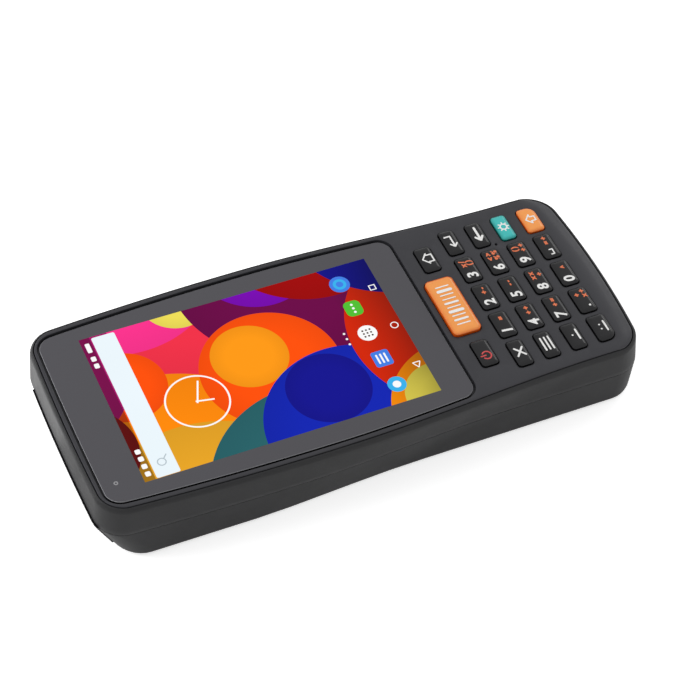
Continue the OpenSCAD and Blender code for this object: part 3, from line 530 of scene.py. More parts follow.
@dataclass(frozen=True)
class Outline:
    """Plan outline of the body at any height above the seam, which frame, panel and glass share.

    The tail is the keypad end and the tip the scanner end. The belly is the wide part beside the display, the
    grip the narrow part beside the keypad. A lean or shift is what a line has moved by at the lowest height.
    """

    tail_y: float = -83.175
    tip_y: float = 82.725
    grip_w: float = 64.0
    belly_w: float = 70.19
    belly_in: float = 70.0
    waist_in: float = 18.0
    belly_lean: float = 1.8
    grip_lean: float = 0.6
    belly_shift: float = 27.0
    waist_shift: float = 54.0
    tip_draw: float = 2.6
    low_tip_draw: float = 0.4
    corner_r: float = 8.0
    least_r: float = 0.6
    tip_bow: float = 0.8
    tail_bow: float = 2.0
    tip_rake: float = 0.3
    tail_rake: float = 1.7
    low_z: float = 2.2
    seam_z: float = 12.6
    crease_z: float = 21.8
    face_z: float = 23.7
    rim_w: float = 1.7
    apron_len: float = 5.4
    apron_fall: float = 0.78
    apron_end: float = 0.8
    corner_steps: int = 14
    side_steps: int = 36
    end_steps: int = 8

    def half_width(self, z: float, y: float) -> float:
        """Half the body's width.

        Args:
            z: Height.
            y: Station along the body.

        Returns:
            Distance from the middle to the side wall.
        """
        down = share(z, self.crease_z, self.low_z)
        belly = self.belly_w / 2 - self.belly_lean * down
        grip = self.grip_w / 2 - self.grip_lean * down
        belly_y = self.tip_y - self.belly_in + self.belly_shift * down
        waist_y = self.tail_y + self.waist_in + self.waist_shift * down
        if y < belly_y:
            t = share(y, waist_y, belly_y)
            return grip + (belly - grip) * t * t * (3 - 2 * t)
        draw = self.tip_draw + (self.low_tip_draw - self.tip_draw) * down
        return belly - draw * ((y - belly_y) / (self.tip_y - belly_y)) ** 2

    def ring(self, z: float, inset: float) -> Plan:
        """Plan of the body at one height.

        Args:
            z: That height.
            inset: How far the plan is drawn in.

        Returns:
            Its points, from the middle of the tail round by the right.
        """
        up = share(z, self.seam_z, self.crease_z)
        y0 = self.tail_y + self.tail_rake * up + inset
        y1 = self.tip_y - self.tip_rake * up - inset
        r = max(self.least_r, self.corner_r - inset)
        tail_y, tip_y = y0 + self.tail_bow + r, y1 - self.tip_bow - r
        tail_x, tip_x = self.half_width(z, tail_y) - inset, self.half_width(z, tip_y) - inset
        half = []
        for i in range(self.end_steps):
            x = (tail_x - r) * i / self.end_steps
            half.append((x, y0 + self.tail_bow * (x / tail_x) ** 2))
        for across, along in turned(r, -90, 0, self.corner_steps):
            x = tail_x - r + across
            half.append((x, tail_y + along + self.tail_bow * (1 - (x / tail_x) ** 2) * along / r))
        for i in range(1, self.side_steps):
            y = tail_y + (tip_y - tail_y) * i / self.side_steps
            half.append((self.half_width(z, y) - inset, y))
        for across, along in turned(r, 0, 90, self.corner_steps):
            x = tip_x - r + across
            half.append((x, tip_y + along + self.tip_bow * (1 - (x / tip_x) ** 2) * along / r))
        for i in range(1, self.end_steps + 1):
            x = (tip_x - r) * (1 - i / self.end_steps)
            half.append((x, y1 - self.tip_bow * (x / tip_x) ** 2))
        return mirrored(half)

    def level(self, z: float, inset: float) -> list[Vector]:
        """The ring at height z as points in space."""
        return lifted(self.ring(z, inset), z)

    def rounding(self) -> list[float]:
        """Width of the upper edge's rounding, which is wide at the tail, where a soft slope is.

        Returns:
            One width for each point of the ring.
        """
        ring = self.ring(self.crease_z, 0)
        widths = []
        for before, after in zip(ring[-1:] + ring[:-1], ring[1:] + ring[:1]):
            ahead = Vector(after) - Vector(before)
            widths.append(self.rim_w + (self.apron_len - self.rim_w) * max(0.0, ahead.x / ahead.length))
        return widths

    def rim_height(self, inset: float, width: float) -> float:
        """Height of the upper edge.

        Args:
            inset: Distance from the widest line.
            width: Width of the rounding there.

        Returns:
            The height, on a quarter of an ellipse at the sides and on a straight slope at the tail.
        """
        t = share(inset, width, 0)
        curve_z = self.crease_z + (self.face_z - self.crease_z) * math.sqrt(1 - t * t)
        slope_z = self.face_z - self.apron_fall * share(t, 0, self.apron_end)
        sloped = share(width, self.rim_w, self.apron_len) * share(t, 1, self.apron_end)
        return curve_z + (slope_z - curve_z) * sloped

    def rim(self, inset: float | Sequence[float], drop: float = 0.0) -> list[Vector]:
        """Points on the rounded upper edge.

        Args:
            inset: Distance from the widest line, the same all round or one for each point.
            drop: How far the points lie below the surface.

        Returns:
            One point for each point of the ring.
        """
        widths = self.rounding()
        insets = [inset] * len(widths) if isinstance(inset, float) else inset
        rings = {t: self.ring(self.crease_z, t) for t in set(insets)}
        return [Vector((*rings[t][i], self.rim_height(t, w) - drop))
                for i, (t, w) in enumerate(zip(insets, widths))]


def mirrored(half: Plan) -> Plan:
    """A whole plan from its right half, whose first and last point lie on the middle line."""
    return half + [(-x, y) for x, y in half[-2:0:-1]]


def turned(radius: float, first: float, last: float, steps: int) -> Plan:
    """Points of an arc round the origin, from one angle to another."""
    return [polar(radius, first + (last - first) * i / steps) for i in range(steps + 1)]


def lifted(plan: Sequence[Point], z: float) -> list[Vector]:
    """A plan as points in space at height z."""
    return [Vector((x, y, z)) for x, y in plan]


def rounded(w: float, h: float, radii: Sequence[float], steps: int = 6) -> Plan:
    """Rectangle with round corners, centred, counter-clockwise.

    Args:
        w: Width.
        h: Height.
        radii: Radius of the lower right, upper right, upper left and lower left corner.
        steps: Edges in each corner.

    Returns:
        Its points.
    """
    least, spare = 0.02, 0.01
    points = []
    for quarter, (right, up) in enumerate(((1, -1), (1, 1), (-1, 1), (-1, -1))):
        r = min(max(radii[quarter], least), w / 2 - spare, h / 2 - spare)
        x, y = right * (w / 2 - r), up * (h / 2 - r)
        points += [(x + a, y + b) for a, b in turned(r, 90 * (quarter - 1), 90 * quarter, steps)]
    return points


def middle_of(node: str) -> Point:
    """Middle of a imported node's box in plan, in millimetres."""
    low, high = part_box(node)
    return (low.x + high.x) / 2 / MM, (low.y + high.y) / 2 / MM


# ---- Shapes ----


def joined(verts: Iterable[bmesh.types.BMVert], kind: str) -> list:
    """The link_edges or link_faces of vertices, each once and in their order."""
    return list(dict.fromkeys(part for vert in verts for part in getattr(vert, kind)))


class Form:
    """A mesh in the making, in millimetres. Closed loops are drawn from level to level."""

    figure_scale: float = 1.35
    figure_slant: float = 0.12
    figure_steps: int = 4
    figure_cuts: int = 2
    sharp_deg: float = 40.0

    def __init__(self) -> None:
        """Starts empty."""
        self.mesh = bmesh.new()
        self.around = self.mesh.verts.layers.int.new("around")

    def loop(self, points: Sequence[Vector]) -> Edges:
        """Adds a closed loop.

        Args:
            points: Its points in order.

        Returns:
            Its edges.
        """
        verts = bmesh.ops.create_circle(self.mesh, segments=len(points), radius=1.0)["verts"]
        for i, (vert, point) in enumerate(zip(verts, points)):
            vert.co = point
            vert[self.around] = i
        return joined(verts, "link_edges")

    def draw(self, edges: Edges, points: Sequence[Vector], slot: int = 0) -> Edges:
        """Draws a loop on to new points.

        Args:
            edges: The loop's edges.
            points: Where each of its vertices goes.
            slot: Material slot of the band of faces.

        Returns:
            The new loop's edges.
        """
        geom = bmesh.ops.extrude_edge_only(self.mesh, edges=edges)["geom"]
        verts = {v for v in geom if isinstance(v, bmesh.types.BMVert)}
        for vert in verts:
            vert.co = points[vert[self.around]]
        for face in geom:
            if isinstance(face, bmesh.types.BMFace):
                face.material_index = slot
        return [e for e in geom if isinstance(e, bmesh.types.BMEdge) and set(e.verts) <= verts]

    def loft(self, levels: Sequence[Sequence[Vector]], slot: int = 0) -> tuple[Edges, Edges]:
        """Draws a loop through levels.

        Args:
            levels: The points of each level.
            slot: Material slot of all bands.

        Returns:
            Edges of the first and the last loop.
        """
        first = last = self.loop(levels[0])
        for points in levels[1:]:
            last = self.draw(last, points, slot)
        return first, last

    def close(self, edges: Edges, slot: int = 0) -> None:
        """Closes a loop with one face."""
        for face in bmesh.ops.contextual_create(self.mesh, geom=edges)["faces"]:
            face.material_index = slot

    def solid(self, levels: Sequence[Sequence[Vector]], slot: int = 0) -> None:
        """Lofted solid with both ends closed."""
        for end in self.loft(levels, slot):
            self.close(end, slot)

    def plate(self, outline: Sequence[Point], top: Surface, depth: float, slot: int,
              at: Point = (0.0, 0.0)) -> None:
        """Thin plate of an outline round its own middle, which goes to at. Its top follows a surface."""
        flat = [(x + at[0], y + at[1]) for x, y in outline]
        self.solid([[Vector((x, y, top(x, y) - drop)) for x, y in flat] for drop in (depth, 0.0)], slot)

    def arc(self, at: Point, radius: float, width: float, turn: Point, top: Surface, depth: float, slot: int,
            steps: int = 32) -> None:
        """Bent strip round a point.

        Args:
            at: That point.
            radius: Radius of the strip's middle line.
            width: Its width.
            turn: Its first and last angle in degrees.
            top: Height of its top over a point.
            depth: Its thickness.
            slot: Material slot.
            steps: Faces along it.
        """
        verts = bmesh.ops.create_grid(self.mesh, x_segments=steps, y_segments=1, size=1.0)["verts"]
        for vert in verts:
            x, y = polar(radius + width / 2 * vert.co.y, turn[0] + (turn[1] - turn[0]) * (vert.co.x + 1) / 2)
            x, y = at[0] + x, at[1] + y
            vert.co = (x, y, top(x, y) - depth)
        geom = bmesh.ops.extrude_face_region(self.mesh, geom=joined(verts, "link_faces"))["geom"]
        raised = [v for v in geom if isinstance(v, bmesh.types.BMVert)]
        bmesh.ops.translate(self.mesh, vec=(0, 0, depth), verts=raised)
        for face in joined((*verts, *raised), "link_faces"):
            face.material_index = slot

    def text(self, body: str, size: float, at: Point, top: Surface, slot: int, weight: float) -> None:
        """Figures of a plain typeface that follow a surface.

        Args:
            body: The figures.
            size: Their height.
            at: Middle of the text.
            top: Height of the surface over a point.
            slot: Material slot.
            weight: How much their strokes are widened, as a share of size.
        """
        curve = bpy.data.curves.new("figures", "FONT")
        curve.body, curve.size = body, size * self.figure_scale
        curve.shear, curve.offset = self.figure_slant, weight * size
        curve.align_x, curve.align_y = "CENTER", "CENTER"
        curve.resolution_u = self.figure_steps
        holder = bpy.data.objects.new("figures", curve)
        bpy.context.scene.collection.objects.link(holder)
        mesh = bpy.data.meshes.new_from_object(holder.evaluated_get(bpy.context.evaluated_depsgraph_get()))
        count, faces = len(self.mesh.verts), len(self.mesh.faces)
        self.mesh.from_mesh(mesh)
        bpy.data.objects.remove(holder)
        bpy.data.curves.remove(curve)
        bpy.data.meshes.remove(mesh)
        self.mesh.verts.ensure_lookup_table()
        edges = joined(self.mesh.verts[count:], "link_edges")
        bmesh.ops.subdivide_edges(self.mesh, edges=edges, cuts=self.figure_cuts)
        self.mesh.verts.ensure_lookup_table()
        self.mesh.faces.ensure_lookup_table()
        verts = self.mesh.verts[count:]
        low = Vector((min(v.co.x for v in verts), min(v.co.y for v in verts)))
        high = Vector((max(v.co.x for v in verts), max(v.co.y for v in verts)))
        move = Vector(at) - (low + high) / 2
        for vert in verts:
            x, y = vert.co.x + move.x, vert.co.y + move.y
            vert.co = (x, y, top(x, y))
        for face in self.mesh.faces[faces:]:
            face.material_index = slot
            if face.normal.z < 0:
                face.normal_flip()

    def region(self, loops: Iterable[Edges]) -> None:
        """Fills the space between an outer loop and the loops inside it."""
        edges = [e for loop in loops for e in loop]
        bmesh.ops.triangle_fill(self.mesh, use_beauty=True, use_dissolve=False, edges=edges)

    def made(self, name: str, sharp: float = sharp_deg) -> bpy.types.Object:
        """Turns the form into an object in metres.

        Args:
            name: Its name.
            sharp: Edges that turn by more degrees than this stay sharp.

        Returns:
            The object.
        """
        bmesh.ops.scale(self.mesh, vec=(MM,) * 3, verts=self.mesh.verts)
        mesh = bpy.data.meshes.new(name)
        self.mesh.to_mesh(mesh)
        self.mesh.free()
        mesh.shade_smooth()
        mesh.set_sharp_from_angle(angle=math.radians(sharp))
        made = bpy.data.objects.new(name, mesh)
        bpy.context.scene.collection.objects.link(made)
        return made

    def piece(self, name: str, body: str, slot: str, finishes: Sequence[Finish], stands_for: str = "",
              recalculate: bool = True, sharp: float = sharp_deg) -> bpy.types.Object:
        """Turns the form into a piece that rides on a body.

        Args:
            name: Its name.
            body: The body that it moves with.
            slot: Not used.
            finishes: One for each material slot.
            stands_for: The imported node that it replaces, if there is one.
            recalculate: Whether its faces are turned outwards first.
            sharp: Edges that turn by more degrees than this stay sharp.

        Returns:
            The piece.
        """
        if recalculate:
            bmesh.ops.recalc_face_normals(self.mesh, faces=self.mesh.faces)
        made = self.made(name, sharp)
        for finish in finishes:
            made.data.materials.append(finish.material())
        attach(made, body)
        if stands_for:
            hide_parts(stands_for)
        log.info("%s: %d faces on %s", name, len(made.data.polygons), body)
        return made


@dataclass(frozen=True)
class Skin:
    """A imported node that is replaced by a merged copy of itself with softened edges."""

    node: str
    name: str
    slot: str
    finish: Finish
    soft: float = 0.0
    body: str = "body"
    merge: float = 0.004
    flat_deg: float = 0.4
    sharp_deg: float = 35.0

    def build(self) -> None:
        """Builds the piece. Its large flat faces rule the shading at their borders."""
        form = Form()
        mesh = form.mesh
        mesh.from_mesh(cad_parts[self.node].data)
        for face in mesh.faces:
            face.material_index = 0
        bmesh.ops.scale(mesh, vec=(1 / MM,) * 3, verts=mesh.verts)
        bmesh.ops.remove_doubles(mesh, verts=mesh.verts, dist=self.merge)
        bmesh.ops.dissolve_limit(mesh, angle_limit=math.radians(self.flat_deg), verts=mesh.verts,
                                 edges=mesh.edges)
        if self.soft:
            self.soften(mesh)
        made = form.piece(self.name, self.body, self.slot, [self.finish], self.node, recalculate=False,
                          sharp=self.sharp_deg)
        made.modifiers.new("even_shading", "WEIGHTED_NORMAL").keep_sharp = True

    def soften(self, mesh: bmesh.types.BMesh) -> None:
        """Rounds sharp edges.

        Args:
            mesh: The mesh that they are in.
        """
        edges = [e for e in mesh.edges
                 if len(e.link_faces) == 2 and e.calc_face_angle(0) > math.radians(self.sharp_deg)]
        bmesh.ops.bevel(mesh, geom=edges, offset=self.soft, offset_type="OFFSET", affect="EDGES", segments=3,
                        profile=0.5, material=-1, clamp_overlap=True)


# ---- Sub-assemblies ----


@dataclass
class Housing:
    """Front frame, front panel and rear shell. The glass lies in a recess of the panel, the keys in holes."""

    outline: Outline
    glass: "Glass"
    keys: Sequence["KeyCap"]
    groove_in: float = 0.95
    panel_gap: float = 0.25
    frame_wall: float = 2.0
    ledge_z: float = 20.8
    seam_gap: float = 0.12
    seam_round: float = 0.03
    lip_round: float = 0.12
    wall_steps: int = 5
    rim_steps: int = 8
    bead_edge: tuple[Point, ...] = ((0.0, 0.3), (0.04, 0.12), (0.13, 0.03), (0.22, 0.0))
    bead_flat: float = 1.56
    apron_flat: float = 4.0
    bead_levels: tuple[float, ...] = (0.2, 0.45, 0.7, 1.0)
    panel_skin: float = 0.3
    hole_round: float = 0.16
    key_hole: float = 1.3
    mic_hole: float = 1.2
    mic_r: float = 0.45
    mic_floor: float = 0.03
    mic_steps: int = 20
    floor_in: float = 0.6
    sharp_deg: float = 50.0
    shell: Skin = Skin("rear_shell", "shell_moulding", "body_plastic", Finishes.body)

    def build(self) -> None:
        """Builds the three mouldings."""
        self.build_frame()
        self.build_panel()
        self.shell.build()

    def build_frame(self) -> None:
        """Side wall above the seam, its rounded upper edge and the inner side of the groove."""
        o = self.outline
        low, top = o.seam_z + self.seam_gap, self.groove_in - self.lip_round
        levels = [o.level(low, self.frame_wall)]
        levels += [o.level(low + up * self.seam_round, inwards * self.seam_round)
                   for inwards, up in SMALL_ROUND]
        levels += [o.level(o.seam_z + (o.crease_z - o.seam_z) * k / self.wall_steps, 0)
                   for k in range(1, self.wall_steps + 1)]
        levels += [o.rim(top * (k / self.rim_steps) ** 2) for k in range(1, self.rim_steps + 1)]
        levels += [o.rim(self.groove_in - inwards * self.lip_round, down * self.lip_round)
                   for inwards, down in SMALL_ROUND[1:]]
        levels += [o.level(self.ledge_z, self.groove_in), o.level(self.ledge_z, self.frame_wall)]
        form = Form()
        first, last = form.loft(levels)
        bmesh.ops.bridge_loops(form.mesh, edges=first + last)
        form.piece("frame_moulding", "body", "body_plastic", [Finishes.body], "front_frame",
                   sharp=self.sharp_deg)

    def build_panel(self) -> None:
        """Panel with a bead along its edge, the recess, and the holes for the keys and the microphone."""
        o, glass, edge = self.outline, self.glass, self.groove_in + self.panel_gap
        start = edge + self.bead_edge[-1][0]
        flat = [self.bead_flat + (self.apron_flat - self.bead_flat) * share(w, o.rim_w, o.apron_len)
                for w in o.rounding()]
        levels = [o.level(self.ledge_z, edge)]
        levels += [o.rim(edge + inwards, drop) for inwards, drop in self.bead_edge]
        levels += [o.rim([start + (f - start) * k for f in flat]) for k in self.bead_levels]
        form = Form()
        rims = [form.loft(levels)[1], self.hole(form, glass.plan, glass.gap, glass.recess, -self.floor_in)]
        rims += [self.hole(form, key.outline, key.gap, self.key_hole) for key in self.keys]
        rims.append(self.hole(form, self.mic_plan, 0.0, self.mic_hole, self.mic_floor - self.mic_r))
        form.region(rims)
        bmesh.ops.recalc_face_normals(form.mesh, faces=form.mesh.faces)
        if sum(f.normal.z * f.calc_area() for f in form.mesh.faces) < 0:
            bmesh.ops.reverse_faces(form.mesh, faces=form.mesh.faces)
        bmesh.ops.solidify(form.mesh, geom=form.mesh.faces, thickness=self.panel_skin)
        form.piece("panel_moulding", "body", "body_plastic", [Finishes.panel], "front_panel", False,
                   self.sharp_deg)

    def mic_plan(self, grow: float) -> Plan:
        """Plan of the microphone hole, grown."""
        x, y = middle_of("microphone")
        return [(x + a, y + b) for a, b in turned(self.mic_r + grow, 0, 360, self.mic_steps)[:-1]]

    def hole(self, form: Form, plan: Callable[[float], Plan], grow: float, depth: float,
             floor: float | None = None) -> Edges:
        """Hole or recess with a rounded upper edge.

        Args:
            form: The form that it is part of.
            plan: Outline of what sits in it, for a growth in millimetres.
            grow: Clearance round that.
            depth: How deep it is below the panel's face.
            floor: Growth of the outline that a floor reaches in to, or nothing for a through hole.

        Returns:
            Edges of its upper loop.
        """
        r, top = self.hole_round, self.outline.face_z
        steps = [(grow + inwards * r, top - down * r) for inwards, down in QUARTER_ROUND]
        steps.append((grow, top - depth))
        if floor is not None:
            steps.append((floor, top - depth))
        return form.loft([lifted(plan(g), z) for g, z in steps])[0]


@dataclass
class Glass:
    """Cover glass over the display, and the ring of the light sensor."""

    outline: Outline
    inset: float = 3.15
    y0: float = -27.425
    y1: float = 79.125
    gap: float = 0.76
    chamfer: float = 0.15
    face_in: float = 0.05
    low_z: float = 22.45
    top_z: float = 23.45
    tail_r: float = 4.0
    tip_r: float = 4.2
    tip_bow: float = 0.3
    corner_drop: float = 0.6
    recess: float = 1.35
    corner_steps: int = 10
    side_steps: int = 30
    end_steps: int = 5
    sharp_deg: float = 30.0
    sensor_r: float = 0.45
    sensor_w: float = 0.35
    sensor_lift: float = 0.012
    sensor_depth: float = 0.01

    def side(self, y: float, grow: float) -> float:
        """Half the width of the glass at a station."""
        return self.outline.half_width(self.outline.crease_z, y) - self.inset + grow

    def plan(self, grow: float) -> Plan:
        """Plan of the glass.

        Args:
            grow: How far it is grown.

        Returns:
            Its points, from the middle of the tail round by the right.
        """
        r0, r1 = self.tail_r + grow, self.tip_r + grow
        y0, y1 = self.y0 - grow + r0, self.y1 + grow - r1
        tail_x, tip_x = self.side(y0, grow) - r0, self.side(y1, grow) - r1
        half = [(0.0, y0 - r0)]
        half += [(tail_x + across, y0 + along) for across, along in turned(r0, -90, 0, self.corner_steps)]
        for i in range(1, self.side_steps):
            y = y0 + (y1 - y0) * i / self.side_steps
            half.append((self.side(y, grow), y))
        for i, (across, along) in enumerate(turned(r1, 0, 90, self.corner_steps)):
            half.append((tip_x + across, y1 + along - self.corner_drop * (1 - i / self.corner_steps)))
        for i in range(1, self.end_steps + 1):
            k = 1 - i / self.end_steps
            half.append((tip_x * k, y1 + r1 + self.tip_bow * (1 - k * k)))
        return mirrored(half)

    def build(self) -> None:
        """Builds the pane and the ring of the light sensor."""
        form = Form()
        low, wall, edge, face = (lifted(self.plan(grow), z) for grow, z in (
            (0.0, self.low_z), (0.0, self.top_z - self.chamfer), (-self.chamfer, self.top_z),
            (-self.chamfer - self.face_in, self.top_z)))
        first, last = form.loft([low, wall], 2)
        form.close(first)
        # Slot 1, the chamfer band, gets the light grey of the painted edge highlight.
        form.close(form.draw(form.draw(last, edge, 1), face))
        form.piece("glass_pane", "body", "cover_glass",
                   [Finishes.glass, Finishes.glass_edge_highlight, Finishes.window], "cover_glass",
                   sharp=self.sharp_deg)
        ring = Form()
        ring.arc(middle_of("light_sensor"), self.sensor_r, self.sensor_w, (0, 360),
                 lambda x, y: self.top_z + self.sensor_lift, self.sensor_depth, 0)
        ring.piece("sensor_ring", "body", "cover_glass", [Finishes.sensor])


# Place of the figures on the caps, as a share of the cap's width from its middle.
FIGURES_AT = -0.29


@dataclass(frozen=True)
class Sign:
    """Printed sign round its own middle.

    Widths are those of the bars, in turn. A bar is given by the coordinates of its two ends, and a ring by
    its radius, width, first angle and last angle. Shift is the place as a share of the cap's width.
    """

    widths: tuple[float, ...] = (0.5,)
    bars: tuple[Bar, ...] = ()
    rings: tuple[Bar, ...] = ()
    shift: float = 0.0


class Mark(Enum):
    """What is printed on the caps in place of figures."""

    FIGURE = Sign()
    POINT = Sign((0.7,), ((0, -0.9, 0, -0.9),), shift=FIGURES_AT)
    SPACE = Sign((0.4,), ((-0.9, 0.3, -0.9, -0.6), (-0.9, -0.6, 0.9, -0.6), (0.9, -0.6, 0.9, 0.3)),
                 shift=FIGURES_AT)
    POWER = Sign((0.42,), ((0, 0.3, 0, 1.7),), ((1.3, 0.42, -240, 60),), shift=FIGURES_AT / 2)
    BARCODE = Sign((0.4, 0.72, 0.4, 1.04, 0.4, 0.72, 0.4, 0.4, 1.04, 0.4),
                   tuple(((i - 4.5) * 1.6, -1.9, (i - 4.5) * 1.6, 1.9) for i in range(10)))
    HOME = Sign((0.42,), ((-1.9, -0.1, 0, 1.5), (0, 1.5, 1.9, -0.1), (-1.3, 0, -1.3, -1.6),
                          (1.3, 0, 1.3, -1.6), (-1.3, -1.6, 1.3, -1.6)))
    CROSS = Sign((0.55,), ((-1.4, -1.2, 1.4, 1.2), (-1.4, 1.2, 1.4, -1.2)))
    ENTER = Sign((0.5,), ((2.1, 1.3, 2.1, -0.4), (2.1, -0.4, -2.0, -0.4), (-2.0, -0.4, -0.9, 0.6),
                          (-2.0, -0.4, -0.9, -1.4)))
    MENU = Sign((0.5,), tuple((-2.2, y, 2.2, y) for y in (-1.2, 0, 1.2)))
    BACK = Sign((0.7,), ((2.6, 0, -2.4, 0), (-2.4, 0, -1.0, 1.1), (-2.4, 0, -1.0, -1.1)))
    ONE_DOT = Sign((0.55,), ((-1.7, -1.2, 1.7, -1.2), (0, 0.4, 0, 0.4)))
    TWO_DOTS = Sign((0.55,), ((-1.7, -1.2, 1.7, -1.2), (-0.8, 0.4, -0.8, 0.4), (0.8, 0.4, 0.8, 0.4)))
    SHIFT = Sign((0.4,), ((-1.7, 0, 0, 1.5), (0, 1.5, 1.7, 0), (-1.7, 0, -0.8, 0), (1.7, 0, 0.8, 0),
                          (-0.8, 0, -0.8, -1.4), (0.8, 0, 0.8, -1.4), (-0.8, -1.4, 0.8, -1.4)))
    GEAR = Sign((0.42,), tuple((*polar(1.25, 45 * i), *polar(1.6, 45 * i)) for i in range(8)),
                ((1.0, 0.45, 0, 360),))


@dataclass
class KeyCap:
    """One key cap with its legend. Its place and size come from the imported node.

    Figure is the large text, and second the small text beside it, with a stroke between its lines. Corner
    is 1 for a cap whose lower right corner is rounder, and -1 for the lower left.
    """

    name: str
    mark: Mark = Mark.FIGURE
    finish: Finish = Finishes.black_key
    slot: str = "key_black"
    figure: str = ""
    second: str = ""
    ink: Finish = Finishes.white
    corner: int = 0
    radius: float = 1.0
    corner_r: float = 2.6
    least_r: float = 0.1
    flange: float = 0.6
    foot_z: float = 21.4
    flange_z: float = 22.2
    gap: float = 0.25
    rim_drop: float = 0.45
    rim: tuple[Point, ...] = ((0.05, 0.37), (0.18, 0.27), (0.42, 0.15), (0.7, 0.06), (1.0, 0.01), (1.25, 0.0),
                              (1.9, 0.0))
    least_core: float = 0.3
    dome: float = 0.14
    ink_lift: float = 0.02
    ink_depth: float = 0.05
    figure_size: float = 3.25
    second_size: float = 1.6
    second_at: float = 0.2
    second_pitch: float = 2.1
    figure_weight: float = 0.04
    second_weight: float = 0.08
    cap_sharp: float = 55.0
    form: Form = field(default_factory=Form)
    low: Vector = field(init=False)
    high: Vector = field(init=False)

    def __post_init__(self) -> None:
        """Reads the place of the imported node."""
        low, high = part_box("key_" + self.name)
        edge = Vector((self.flange, self.flange, 0))
        self.low, self.high = low / MM + edge, high / MM - edge

    @property
    def middle(self) -> Point:
        """Middle of the cap in plan."""
        return (self.low.x + self.high.x) / 2, (self.low.y + self.high.y) / 2

    @property
    def size(self) -> Point:
        """Width and height of the cap in plan."""
        return self.high.x - self.low.x, self.high.y - self.low.y

    def outline(self, grow: float) -> Plan:
        """Plan of the cap.

        Args:
            grow: How far it is grown.

        Returns:
            Its points.
        """
        (x, y), (w, h) = self.middle, self.size
        radii = [max(self.least_r, self.radius + grow)] * 4
        if self.corner:
            radii[0 if self.corner > 0 else 3] = self.corner_r + grow
        return [(x + a, y + b) for a, b in rounded(w + 2 * grow, h + 2 * grow, radii)]

    def top(self, x: float, y: float) -> float:
        """Height of the domed top over a point."""
        (mx, my), (w, h) = self.middle, self.size
        return self.high.z - self.dome * (((x - mx) / w * 2) ** 2 + ((y - my) / h * 2) ** 2) / 2

    def over(self, x: float, y: float) -> float:
        """Height of the print over a point."""
        return self.top(x, y) + self.ink_lift

    def build(self) -> None:
        """Builds the cap and prints its legend."""
        form, node = self.form, "key_" + self.name
        steps = ((self.flange, self.foot_z), (self.flange, self.flange_z), (0.0, self.flange_z),
                 (0.0, self.high.z - self.rim_drop))
        levels = [lifted(self.outline(grow), z) for grow, z in steps]
        innermost = min(self.size) / 2 - self.least_core
        levels += [[Vector((x, y, self.top(x, y) - drop)) for x, y in self.outline(-inset)]
                   for inset, drop in self.rim if inset <= innermost]
        form.solid(levels)
        bmesh.ops.recalc_face_normals(form.mesh, faces=form.mesh.faces)
        self.print_legend()
        form.piece("cap_" + self.name, node, self.slot, [self.finish, self.ink, Finishes.orange], node,
                   recalculate=False, sharp=self.cap_sharp)

    def bar(self, at: Point, ends: Bar, width: float) -> None:
        """Prints a bar with round ends.

        Args:
            at: Middle of the sign.
            ends: Coordinates of the bar's two ends from there.
            width: Its width.
        """
        start, end = ends[:2], ends[2:]
        turn = math.degrees(math.atan2(end[1] - start[1], end[0] - start[0]))
        points = [(x + a, y + b) for (x, y), first in ((end, turn - 90), (start, turn + 90))
                  for a, b in turned(width / 2, first, first + 180, 6)]
        self.form.plate(points, self.over, self.ink_depth, 1, at)

    def print_legend(self) -> None:
        """Prints what the key carries: its sign or figure in its ink, and small signs in orange."""
        (mx, my), w, sign = self.middle, self.size[0], self.mark.value
        at = (mx + sign.shift * w, my)
        for radius, width, *turn in sign.rings:
            self.form.arc(at, radius, width, turn, self.over, self.ink_depth, 1)
        for ends, width in zip(sign.bars, cycle(sign.widths)):
            self.bar(at, ends, width)
        if self.figure:
            self.form.text(self.figure, self.figure_size, (mx + FIGURES_AT * w, my), self.over, 1,
                           self.figure_weight)
        lines = self.second.split("|") if self.second else []
        for row, line in enumerate(lines):
            y = my + ((len(lines) - 1) / 2 - row) * self.second_pitch
            self.form.text(line, self.second_size, (mx + self.second_at * w, y), self.over, 2,
                           self.second_weight)


def key_caps() -> list[KeyCap]:
    """All 23 key caps.

    Returns:
        The caps, each with its mark or its figure and small signs.
    """
    signs = {"home": Mark.HOME, "escape": Mark.CROSS, "enter": Mark.ENTER, "menu": Mark.MENU,
             "back": Mark.BACK, "f1": Mark.ONE_DOT}
    figures = {"1": "=", "2": "+ -", "3": "x /|( )", "4": "+ +", "5": "- -", "6": "< >|% %", "7": "+ =",
               "8": "x x|+", "9": "( )|+ +", "0": "^"}
    return [
        KeyCap("power", Mark.POWER, ink=Finishes.red),
        KeyCap("scan", Mark.BARCODE, Finishes.scan_key, "key_orange", radius=1.5, dome=0.24),
        *(KeyCap(name, mark) for name, mark in signs.items()),
        *(KeyCap(figure, figure=figure, second=second) for figure, second in figures.items()),
        KeyCap("point", Mark.POINT, second="+|x +"),
        KeyCap("space", Mark.SPACE, second="= +"),
        KeyCap("f2", Mark.TWO_DOTS, corner=-1),
        KeyCap("function", Mark.GEAR, Finishes.teal_key, "key_teal"),
        KeyCap("shift", Mark.SHIFT, Finishes.orange_key, "key_orange", corner=1)]


class Glow(Enum):
    """Lit colours of the marks on the display, in the order of their material slots."""

    WHITE = "ffffff"
    PALE = "eef9ff"
    BLUE = "3f7fe8"
    GREEN = "4fc22e"
    SKY = "35b4f0"
    GREY = "b9c6ce"
    SHADE = "3a2a18"

    @property
    def slot(self) -> int:
        """Its material slot."""
        return list(Glow).index(self)


@dataclass(frozen=True)
class Tiles:
    """Row of equal tiles with round corners, by their height on the display and their places across."""

    y: float
    across: tuple[float, ...]
    size: Point
    radius: float
    glow: Glow = Glow.WHITE
    layer: int = 1


